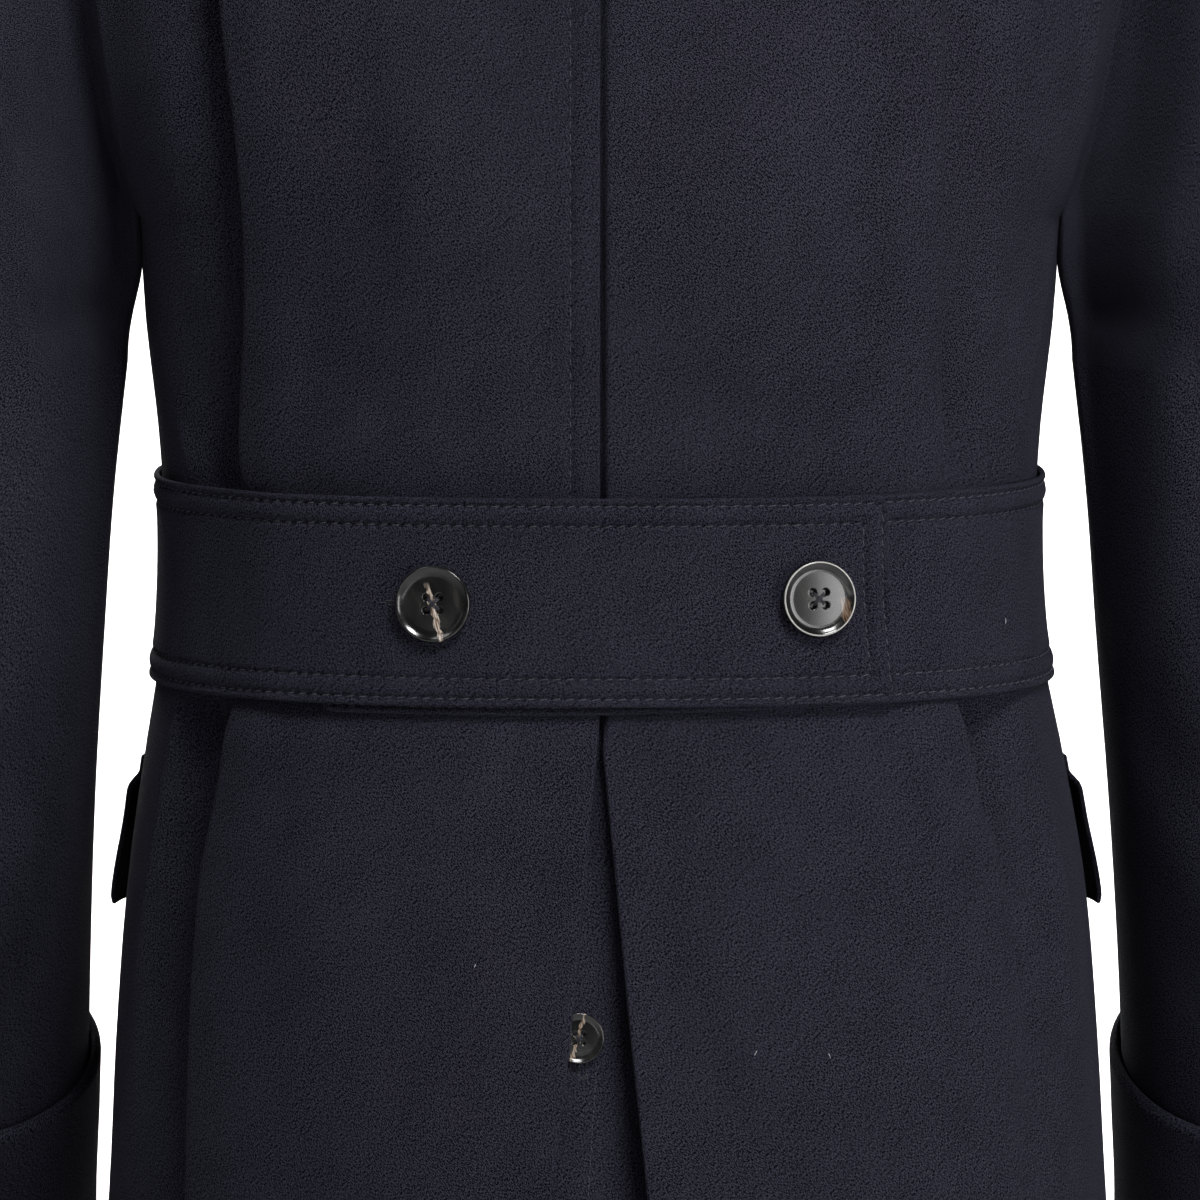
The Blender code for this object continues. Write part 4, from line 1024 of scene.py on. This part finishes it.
def make_sleeves():
    """Sleeves and their turned-back cuffs."""
    sides = 96
    angle = np.arange(sides) * 2 * math.pi / sides
    t = spread((0, 0.10, 0.0065), (0.10, 0.5, 0.016), (0.5, 2.0, 0.0125))
    base = sleeve_surface(angle[None, :], t[:, None])
    normals = normals_of(base, True)
    a = np.broadcast_to(angle[None, :], base.shape[:2])
    lift = crease(a, t[:, None] + 0 * a, SLEEVE_CREASES) * ease(t, 0.15, 0.5)[:, None]
    # The sleeve sinks behind the back's edge, and its inner side swells to meet the body's side
    hole = armhole(np.linspace(0.02, 3.0, 200))
    apart = base[..., 0] - np.interp(base[..., 2], hole[:, 2], hole[:, 0])
    sink = ARMHOLE_SINK * behind(a) * (ease(base[..., 2], -0.58, -0.30) * ease(apart, -0.004, 0.004)
                                       * (1 - ease(apart, 0.011, 0.044)))
    swell = 0.0042 * mound(np.minimum(a, 2 * math.pi - a), 0.60)
    lift = lift + swell * mound(t - 0.40, 0.32)[:, None]
    for seam in SLEEVE_SEAMS:
        lift = lift - 0.0010 * mound(a - seam, 0.035) * ease(t, 0.05, 0.2)[:, None]
    left = base + normals * (lift * (1 - 0.7 * ease(t, 1.74, 1.80)[:, None]))[..., None]
    left[..., 1] -= sink
    u = spread((CUFF_SHARE, CUFF_SHARE + 0.02, 0.0020), (CUFF_SHARE + 0.02, 1.0, 0.010))
    ring = sleeve_surface(angle[None, :], 1 + u[:, None])
    middle = ring.mean(axis=1, keepdims=True)
    out = np.interp(u, [0.80, 0.804, 0.86, 0.93, 1.0], [0.0012, 0.0026, 0.0022, 0.0010, 0.0007])
    cuff = ring + unit(ring - middle) * out[:, None, None]
    for side, name in SIDES:
        sleeve, band = (left, cuff) if side > 0 else (other_sleeve(left), other_sleeve(cuff))
        cloth("sleeve_" + name, sleeve, ["back_%s_cloth" % name, "front_%s_cloth" % name],
              ("sleeve_%s_top" % name, "sleeve_%s_under" % name), closed=True)
        cloth("cuff_" + name, band, ["sleeve_%s_cloth" % name], wall=CUFF_WALL, closed=True,
              outward=True)


# Belt
BELT_HALF = (BELT_TOP_Z - BELT_BOTTOM_Z) / 2
BELT_CORNER = 0.0055
BELT_FINE_REACH = 0.420
OVER_START_X = -0.1108
UNDER_START_X = 0.1050
ROW_PLACES = [0.0021, 0.0100]


def waist_angle(start_x, direction, u):
    """Angles round the waist at distances u from a place start_x out."""
    a = np.linspace(-1.9, 1.9, 4001)
    line = oval(a, np.full_like(a, BELT_MID_Z))
    run = np.concatenate([[0.0], np.cumsum(np.linalg.norm(np.diff(line, axis=0), axis=-1))])
    begin = np.interp(angle_at(np.array(start_x), np.array(BELT_MID_Z)), a, run)
    return np.interp(begin + direction * u, run, a), (run[-1] - begin if direction > 0 else begin)


def belt_lift_under(x):
    """Height of the under piece's inner face off the body."""
    return 0.0009 + 0.0010 * mound(np.abs(x) - 0.133, 0.035)


def belt_lift_over(x):
    """Height of the over piece's inner face off the body."""
    return belt_lift_under(x) + (BELT_WALL + 0.0008) * ease(-x, -0.150, -0.122)


def make_belt_piece(name, start_x, direction, lift_of, drop_of, reach, rests_on):
    """Piece of the half belt: flat with a puffed rim, two rows of stitches and a rounded end."""
    fine_to = min(BELT_FINE_REACH, reach - 0.006)
    u = spread((0.0, 0.014, 0.0007), (0.014, fine_to, 0.00135), (fine_to, reach, 0.0045))
    e = spread((0.0, 0.0125, 0.00065), (0.0125, BELT_HALF, 0.0045))
    level = np.concatenate([e - BELT_HALF, (BELT_HALF - e[:-1])[::-1]]) / BELT_HALF
    corner = BELT_CORNER
    inside = np.clip(corner - u, 0, corner)
    half = BELT_HALF - corner + np.sqrt(corner**2 - inside**2)
    angle = waist_angle(start_x, direction, u)[0][None, :] + 0 * level[:, None]
    flat_z = level[:, None] * half[None, :]
    z = BELT_MID_Z + flat_z - drop_of(angle)
    x = oval(angle, z)[..., 0]
    inner = on_body(angle, z, lift_of(x))
    from_side = BELT_HALF - np.abs(flat_z)
    from_end = u[None, :] + 0 * flat_z
    both = (from_side < corner) & (from_end < corner)
    rim = np.where(both, corner - np.hypot(corner - from_side, corner - from_end),
                   np.minimum(from_side, from_end))
    run = np.where(from_end < from_side, flat_z, from_end)
    ripple = np.cos(2 * math.pi * run / STITCH_PITCH + 1.2 * np.sin(run * 90.0))
    wall = BELT_WALL + (0.00055 + 0.00016 * ripple) * mound(rim - 0.0060, 0.0032)
    wall = wall + 0.00020 * mound(rim - 0.0008, 0.0010) - 0.00020 * ease(rim, 0.011, 0.016)
    for place in ROW_PLACES:
        wall = wall + pucker(rim - place, run, 0.00155)
    cloth(name, inner, rests_on, wall=wall, outward=True)
    normals = normals_of(inner)
    outer = inner + normals * wall[..., None]
    ends = fine_to - 0.002
    # The inner row takes the darker thread, painted shade for stitches sunk in the puckers.
    for place, word, mat in zip(ROW_PLACES, ("", "_inner"), (thread, shaded_topstitch_thread)):
        frames = []
        turn_at = max(place, corner)
        count = int((ends - turn_at) / STITCH_PITCH)
        first = math.ceil(turn_at / STITCH_PITCH - 0.5)
        at = (first + np.arange(count) + 0.5) * STITCH_PITCH
        for sign in (1, -1):
            row = np.interp(sign * (BELT_HALF - place) / BELT_HALF, level, np.arange(len(level)))
            rows = [np.full(len(at), row)] * 3
            columns = [np.interp(at + d, u, np.arange(len(u))) for d in STITCH_STEPS]
            if direction > 0:
                columns = columns[::-1]
            frames.append(stitch_frames(outer, normals, rows, columns))
        top = BELT_HALF - turn_at
        level_at = np.arange(math.ceil(-top / STITCH_PITCH), int(top / STITCH_PITCH)) + 0.5
        level_at = level_at * STITCH_PITCH
        column = np.interp(place, u, np.arange(len(u)))
        half_at = np.interp(place, u, half)
        columns = [np.full(len(level_at), column)] * 3
        rows = [np.interp((level_at + d) / half_at, level, np.arange(len(level)))
                for d in STITCH_STEPS]
        frames.append(stitch_frames(outer, normals, rows, columns))
        sewn(name + "_stitches" + word, frames, 9.0, radius=0.00018, mat=mat)


def belt_reach(start_x, direction):
    """Length of a belt piece from its rounded end to a little past the side."""
    reach = waist_angle(start_x, direction, np.array([0.0]))[1] - 0.02
    a = np.linspace(0, reach, 2000)
    turned_by = direction * waist_angle(start_x, direction, a)[0]
    return a[np.searchsorted(turned_by, math.radians(100.0)) - 1]


def make_belts():
    """The over piece from the left and the under piece from the right."""
    make_belt_piece("belt_left", OVER_START_X, 1, belt_lift_over, lambda a: 0 * a,
                    belt_reach(OVER_START_X, 1), ["belt_right_cloth", "back_left_cloth"])
    make_belt_piece("belt_right", UNDER_START_X, -1, belt_lift_under,
                    lambda a: 0.0030 * ease(a, -0.9, 0.2), belt_reach(UNDER_START_X, -1),
                    ["back_left_cloth", "back_right_cloth"])


# Lapels and collar
def lapel_points(side, t, w):
    """Lapel, t from the break to the gorge: straight in w from the roll line to the outer edge,
    which is a straight line bellied by a sine, and lifted off the front."""
    roll_x, roll_z = roll_line(GORGE_SHARE * t)
    edge_x = -FRONT_EDGE_X + 0.006 + (PEAK_X + FRONT_EDGE_X - 0.006) * t
    edge_x = edge_x + 0.020 * np.sin(math.pi * t)
    edge_z = BREAK_Z - 0.004 + (PEAK_Z - BREAK_Z + 0.004) * t - 0.012 * np.sin(math.pi * t)
    x = roll_x + (edge_x - roll_x) * w
    z = roll_z + (edge_z - roll_z) * w
    raised = 0.0016 if side > 0 else 0.0
    lift = (0.0010 if side > 0 else 0.0014) + raised * ease(w, 0.3, 1.0)
    return on_chest(side, side * x, z, lift)


def neckline(q):
    """Line that the collar is sewn to, q 0 at the centre back and 1 at the left gorge: a quarter
    ellipse round the neck, then the roll line down to the gorge."""
    side = np.where(q < 0, -1.0, 1.0)
    size = np.abs(q)
    turn = np.clip(size / NECK_END, 0, 1) * math.pi / 2
    down = np.clip((size - NECK_END) / (1 - NECK_END), 0, 1) * (1 - GORGE_SHARE)
    x = NECK_HALF * np.sin(turn) - (NECK_HALF + FRONT_EDGE_X) * down
    z = NECK_SIDE_Z * (1 - np.cos(turn)) - (NECK_SIDE_Z - BREAK_Z) * down
    y = np.where(size < NECK_END, NECK_BACK * np.cos(turn), chest(x, z))
    return np.stack([side * x, y, z], axis=-1)


def rounded_rows(lines, count):
    """Smooth curve through rows of points (Catmull-Rom), sampled count times."""
    lines = np.asarray(lines)
    at = np.linspace(0, len(lines) - 1, count)
    k = np.clip(np.floor(at).astype(int), 0, len(lines) - 2)
    t = (at - k)[:, None, None]
    pad = np.concatenate([2 * lines[:1] - lines[1:2], lines, 2 * lines[-1:] - lines[-2:-1]])
    a, b, c, d = pad[k], pad[k + 1], pad[k + 2], pad[k + 3]
    return 0.5 * (2 * b + (c - a) * t + (2 * a - 5 * b + 4 * c - d) * t**2
                  + (3 * b - a - 3 * c + d) * t**3)


def make_lapels_and_collar():
    """Broad lapels, and the collar with its stand and fall."""
    t = np.linspace(0.03, 1.0, 50)[:, None] + np.zeros((1, 36))
    w = np.linspace(0.0, 1.0, 36)[None, :] + 0 * t
    for side, name in SIDES:
        cloth("lapel_" + name, lapel_points(side, t, w), ["front_%s_cloth" % name], outward=True)
    q = np.linspace(-1.0, 1.0, 121)
    base = neckline(q)
    size = np.abs(q)
    turn = np.clip(size / NECK_END, 0, 1) * math.pi / 2
    side = np.where(q < 0, -1.0, 1.0)
    front = ease(size, 0.55, 1.0)
    outward = unit(np.stack([side * (np.sin(turn) * (1 - front) + 0.75 * front),
                             np.cos(turn) - 0.55 * front, -0.30 * front], axis=-1))
    stand = COLLAR_STAND * (1 - ease(size, 0.45, 1.0)) + 0.004
    up = unit(np.stack([0 * q, -0.10 * np.cos(turn) - 0.30 * front, 1 - 0.4 * front], axis=-1))
    reach = 0.030 + 0.046 * ease(size, 0.0, 0.9)
    drop = 0.050 - 0.032 * ease(size, 0.25, 0.60)
    foot = base + up * 0.0006
    crest = foot + up * stand[:, None] + outward * 0.002
    over = crest + outward * 0.010 - up * 0.001
    edge = foot + outward * (reach + 0.006)[:, None] - np.stack([0 * q, 0 * q, drop], axis=-1)
    middle = (over + edge) / 2 + outward * 0.010
    lines = [foot, foot + (crest - foot) * 0.5, crest, over, middle, edge]
    cloth("collar", rounded_rows(lines, 41), ["back_left_cloth", "back_right_cloth"], outward=True)


# Buttons
# Share of the radius and of the thickness down the rim, from the dish to the foot
PROFILE = [(0.60, 0.679), (0.70, 0.668), (0.728, 0.665), (0.742, 0.674), (0.756, 0.664),
           (0.84, 0.79), (0.905, 0.92), (0.928, 0.985), (0.948, 1.0), (0.966, 0.99),
           (0.985, 0.92), (0.997, 0.82), (1.0, 0.72), (1.0, 0.48), (0.95, 0.30), (0.80, 0.04),
           (0.70, 0.0), (0.0, 0.0)]
# The dish's height at its middle, and what it gains with the square of the distance
DISH = (0.715, -0.100)
# Radius and thickness
LARGE_BUTTON = (0.0150, 0.0042)
SMALL_BUTTON = (0.0100, 0.0026)
# Distance out and height of the buttons' middles
BELT_BUTTON_LEFT = (0.0636, -0.4208)
BELT_BUTTON_RIGHT = (-0.0831, -0.4192)
VENT_BUTTON = (0.0086, -0.5890)
FRONT_BUTTON_X = 0.058
# Height of a front row, and how far its left and right button sit off the body
FRONT_ROWS = [(-0.310, -0.0006, 0.0001), (-0.430, -0.0004, 0.0003), (-0.550, -0.0006, 0.0003)]
BELT_SEAT = 0.0009 + BELT_WALL + 0.0008 + BELT_WALL + 0.0003


def make_button(node, size, place, normal, mat, fine):
    """Four-hole button: a dished face turned from a profile, with four pits pressed into it."""
    name = node + "_horn"
    radius, thick = size
    sides = 120 if fine else 48
    centre_rings = 34 if fine else 12
    share, height = np.array(PROFILE).T
    middle = np.linspace(0.0, 0.58, centre_rings)
    r = np.concatenate([middle, share]) * radius
    h = np.concatenate([DISH[0] + DISH[1] * middle**2, height]) * thick
    r[0] = radius * 0.002
    r[-1] = radius * 0.002
    a = np.arange(sides) * 2 * math.pi / sides
    x = r[:, None] * np.cos(a)
    y = r[:, None] * np.sin(a)
    h = h[:, None] + 0 * x
    bore, off = radius * 0.098, radius * 0.168
    for cx, cy in ((off, off), (-off, off), (-off, -off), (off, -off)):
        far = np.hypot(x - cx, y - cy)
        pit = 1 - ease(far, bore * 0.80, bore * 1.12)
        top = np.arange(len(r)) < centre_rings + 2
        h = h - 0.62 * thick * pit * top[:, None]
    up = unit(np.asarray(normal, float))
    right = unit(np.cross(np.array([0.0, 0.0, 1.0]), up))
    top_way = np.cross(up, right)
    base = np.asarray(place) + up * 0.0004
    points = (base + x[..., None] * right + y[..., None] * top_way + h[..., None] * up)
    index = np.arange(points.shape[0] * sides).reshape(-1, sides)
    quads = quads_of(index, True).reshape(-1, 4)
    uv = np.stack([x, y], axis=-1).reshape(-1, 2)
    item = new_object(name, points.reshape(-1, 3), quads, uv[quads.ravel()], mat)
    hook(item, node, slot="dark_horn")
    # Crossed threads from hole to hole
    template, faces = capsule(off * 2 * 1.414 - bore * 0.2, radius * 0.024, 0.0011, 8, 12)
    centres, ways, ups = [], [], []
    for turn in (math.pi / 4, -math.pi / 4):
        way = right * math.cos(turn) + top_way * math.sin(turn)
        across = np.cross(up, way)
        for k in (-0.5, 0.5):
            height = thick * DISH[0] + radius * 0.02 + (0.00025 if turn > 0 else 0)
            centres.append(base + up * height + across * k * radius * 0.046)
            ways.append(way)
            ups.append(up)
    joined(name + "_thread", np.array(centres), np.array(ways), np.array(ups), template, faces,
           dark_thread)
    # Shank of thread that holds the button off the cloth
    template, faces = capsule(0.0034, 0.0016, 0.0)
    joined(name + "_shank", np.array([base + up * 0.0001]), np.array([-up]), np.array([right]),
           template, faces, dark_thread)


def body_place(x, z, front, lift):
    """Place and normal of a button on the body."""
    angle = angle_at(np.array(x), np.array(z), front)
    here = on_body(angle, np.array(z), np.array(lift))
    return here, on_body(angle, np.array(z), np.array(lift + 0.01)) - here


def make_buttons():
    """Two belt buttons, the vent button and six front buttons, and the belt's buttonhole end."""
    brown, pale = (0.060, 0.028, 0.014), (0.46, 0.40, 0.34)
    plain = horn_material("dark_horn", (0.20, 0.0040, 0.0012, 0.020, -0.020), (0.02, 0.013, 0.009),
                          (0.06, 0.045, 0.035))
    left = horn_material("streaked_horn", (-0.275, -0.0003, 0.0013, 0.0085, -0.020), brown, pale)
    # The right button's ring at radius 0.01435 is a painted highlight along the top of its rim; the
    # other buttons' rings fall outside them.
    right = horn_material("marbled_horn_painted_rim_highlight", (-0.15, 0.0104, 0.0022, 0.0010, -0.0120),
                          (0.030, 0.015, 0.008), (0.13, 0.090, 0.065), 0.01435)
    # The vent button's streak is its own; its pale is dimmer than the belt button's, painted shade
    # for the shadow in the vent.
    vent = horn_material("shaded_pale_streak_horn", (0.30, -0.0005, 0.0006, 0.020, -0.020), brown,
                         (0.24, 0.20, 0.16))
    for name, (x, z), mat in (("belt_button_left", BELT_BUTTON_LEFT, left),
                              ("belt_button_right", BELT_BUTTON_RIGHT, right)):
        place, normal = body_place(x, z, False, BELT_SEAT)
        make_button(name, LARGE_BUTTON, place, normal, mat, True)
    for row, (z, *seats) in enumerate(FRONT_ROWS):
        for (side, word), seat in zip(SIDES, seats):
            place, normal = body_place(side * FRONT_BUTTON_X, z, True, seat)
            make_button("front_button_%s_%d" % (word, row + 1), LARGE_BUTTON, place, normal, plain,
                        False)
    x, z = np.array(VENT_BUTTON)
    here = vent_underlay(x, z)
    normal = np.cross(vent_underlay(x, z + 0.002) - here, vent_underlay(x + 0.002, z) - here)
    make_button("vent_button", SMALL_BUTTON, here, normal * np.sign(normal[1]), vent, True)
    z = BELT_BUTTON_LEFT[1] + np.array([-0.0008, 0.0008, -0.0008, 0.0008, 0.0, 0.0])
    x = BELT_BUTTON_LEFT[0] + np.array([0.0158, 0.0164, 0.0172, 0.0180, 0.0190, 0.0203])
    angle = angle_at(x, z)
    here = on_body(angle, z, np.full(6, 0.0061))
    up = unit(on_body(angle, z, np.full(6, 0.0071)) - here)
    way = np.broadcast_to(np.array([1.0, 0.0, 0.15]), here.shape)
    way = unit(way - up * np.sum(way * up, axis=-1, keepdims=True))
    sewn("belt_buttonhole_stitches", [(here, way, up)], 0.0, length=0.0022, radius=0.00025,
         mat=dark_thread)


# Pale fibres caught on the nap: distance out, height, turn in degrees
LINT = [(-0.1570, -0.4330, 85), (0.0488, -0.5610, 70), (-0.0608, -0.5950, 60),
        (-0.0897, -0.5970, 110)]


def make_lint():
    """A few short pale fibres on the back and the belt."""
    x = np.array([row[0] for row in LINT])
    z = np.array([row[1] for row in LINT])
    half = smooth(BODY, 2, z)
    x = np.clip(x, -half * 0.94, half * 0.94)
    angle = angle_at(x, z)
    lift = np.where((z < BELT_TOP_Z) & (z > BELT_BOTTOM_Z), 0.0048, 0.0008)
    here = on_body(angle, z, lift)
    up = unit(on_body(angle, z, lift + 0.001) - here)
    level = unit(np.cross(up, np.array([0.0, 0.0, 1.0])))
    turn = np.radians([row[2] for row in LINT])[:, None]
    way = level * np.cos(turn) + np.cross(up, level) * np.sin(turn)
    template, faces = capsule(0.0024, 0.00010, 0.0002)
    pale = thread_material("pale_fibre", (0.28, 0.28, 0.30), (0.55, 0.55, 0.56))
    joined("lint_fibres", here, way, up, template, faces, pale)


make_backs()
make_vent()
make_fronts()
make_pockets()
make_sleeves()
make_belts()
make_lapels_and_collar()
make_buttons()
make_lint()


# Studio: floor, lights and camera
FLOOR_Z = -1.50
FLOOR_RADIUS = 30.0
LIGHT_AIM = (0, 0.05, -0.45)
VIEW_TARGET = (0, 0.135, -0.4188)
VIEW_TILT = 5.5
VIEW_DISTANCE = 4.0
LENS = 307
SENSOR = 36
WORLD_STRENGTH = 0.02
# Name and place from back to front of the two floor lights, their height, size, power and spread
FLOOR_LIGHTS = (("far_floor", -13.0), ("near_floor", 15.0))
FLOOR_LIGHT = (3.0, (9.0, 18.0), 1900.0, 50.0)


def make_floor():
    """Pale round floor."""
    turn = np.linspace(0, 2 * math.pi, 65)[:-1]
    mesh = bpy.data.meshes.new("floor")
    corners = [(FLOOR_RADIUS * math.cos(a), FLOOR_RADIUS * math.sin(a), FLOOR_Z) for a in turn]
    mesh.from_pydata(corners, [], [tuple(range(len(turn)))])
    mat = start_material("pale_floor", 0.9, 0.5)[0]
    mat.node_tree.nodes["Principled BSDF"].inputs["Base Color"].default_value = (0.72, 0.72, 0.72, 1)
    mesh.materials.append(mat)
    item = bpy.data.objects.new("floor", mesh)
    bpy.context.scene.collection.objects.link(item)


def make_light(name, place, size, power, aim=LIGHT_AIM, spread_deg=180.0):
    """Soft rectangular light aimed at a point."""
    data = bpy.data.lights.new(name, "AREA")
    data.shape = "RECTANGLE"
    data.size = size[0]
    data.size_y = size[1]
    data.energy = power
    data.spread = math.radians(spread_deg)
    item = bpy.data.objects.new(name, data)
    item.location = place
    aim = Vector(aim) - Vector(place)
    item.rotation_euler = aim.to_track_quat("-Z", "Y").to_euler()
    bpy.context.scene.collection.objects.link(item)


# Name, degrees from behind towards the wearer's right, elevation, distance, size, power
LIGHTS = [
    ("high_key", 23, 50, 3.4, 1.0, 126.0), ("low_key", 49, 3, 1.6, 0.8, 17.0),
    ("side_key", 55, 20, 3.4, 1.2, 3.0), ("left_fill", -62, 55, 1.8, 0.7, 6.5),
    ("low_left_fill", -60, 20, 3.4, 1.2, 2.0), ("under_fill", 0, -28, 2.0, 1.0, 2.0),
    ("front_key", 195, 28, 3.6, 1.3, 130.0),
]


def make_studio():
    """World, lights and the camera at the photo's view."""
    make_floor()
    world = bpy.data.worlds.new("studio")
    world.use_nodes = True
    background = world.node_tree.nodes["Background"]
    background.inputs["Color"].default_value = (1, 1, 1, 1)
    background.inputs["Strength"].default_value = WORLD_STRENGTH
    scene = bpy.context.scene
    scene.world = world
    scene.view_settings.view_transform = "Standard"
    for name, turn, rise, far, size, power in LIGHTS:
        a, e = math.radians(turn), math.radians(rise)
        place = (-math.sin(a) * math.cos(e) * far,
                 LIGHT_AIM[1] + math.cos(a) * math.cos(e) * far,
                 LIGHT_AIM[2] + math.sin(e) * far)
        make_light(name, place, (size, size), power)
    height, size, power, spread_deg = FLOOR_LIGHT
    for name, y in FLOOR_LIGHTS:
        make_light(name, (0, y, height), size, power, (0, y + 0.001, FLOOR_Z), spread_deg)
    lens = bpy.data.cameras.new("photo_view")
    lens.lens = LENS
    lens.sensor_width = SENSOR
    camera = bpy.data.objects.new("photo_view", lens)
    target = Vector(VIEW_TARGET)
    tilt = math.radians(VIEW_TILT)
    camera.location = target + Vector((0, math.cos(tilt), math.sin(tilt))) * VIEW_DISTANCE
    camera.rotation_euler = (target - camera.location).to_track_quat("-Z", "Y").to_euler()
    scene.collection.objects.link(camera)
    scene.camera = camera


make_studio()
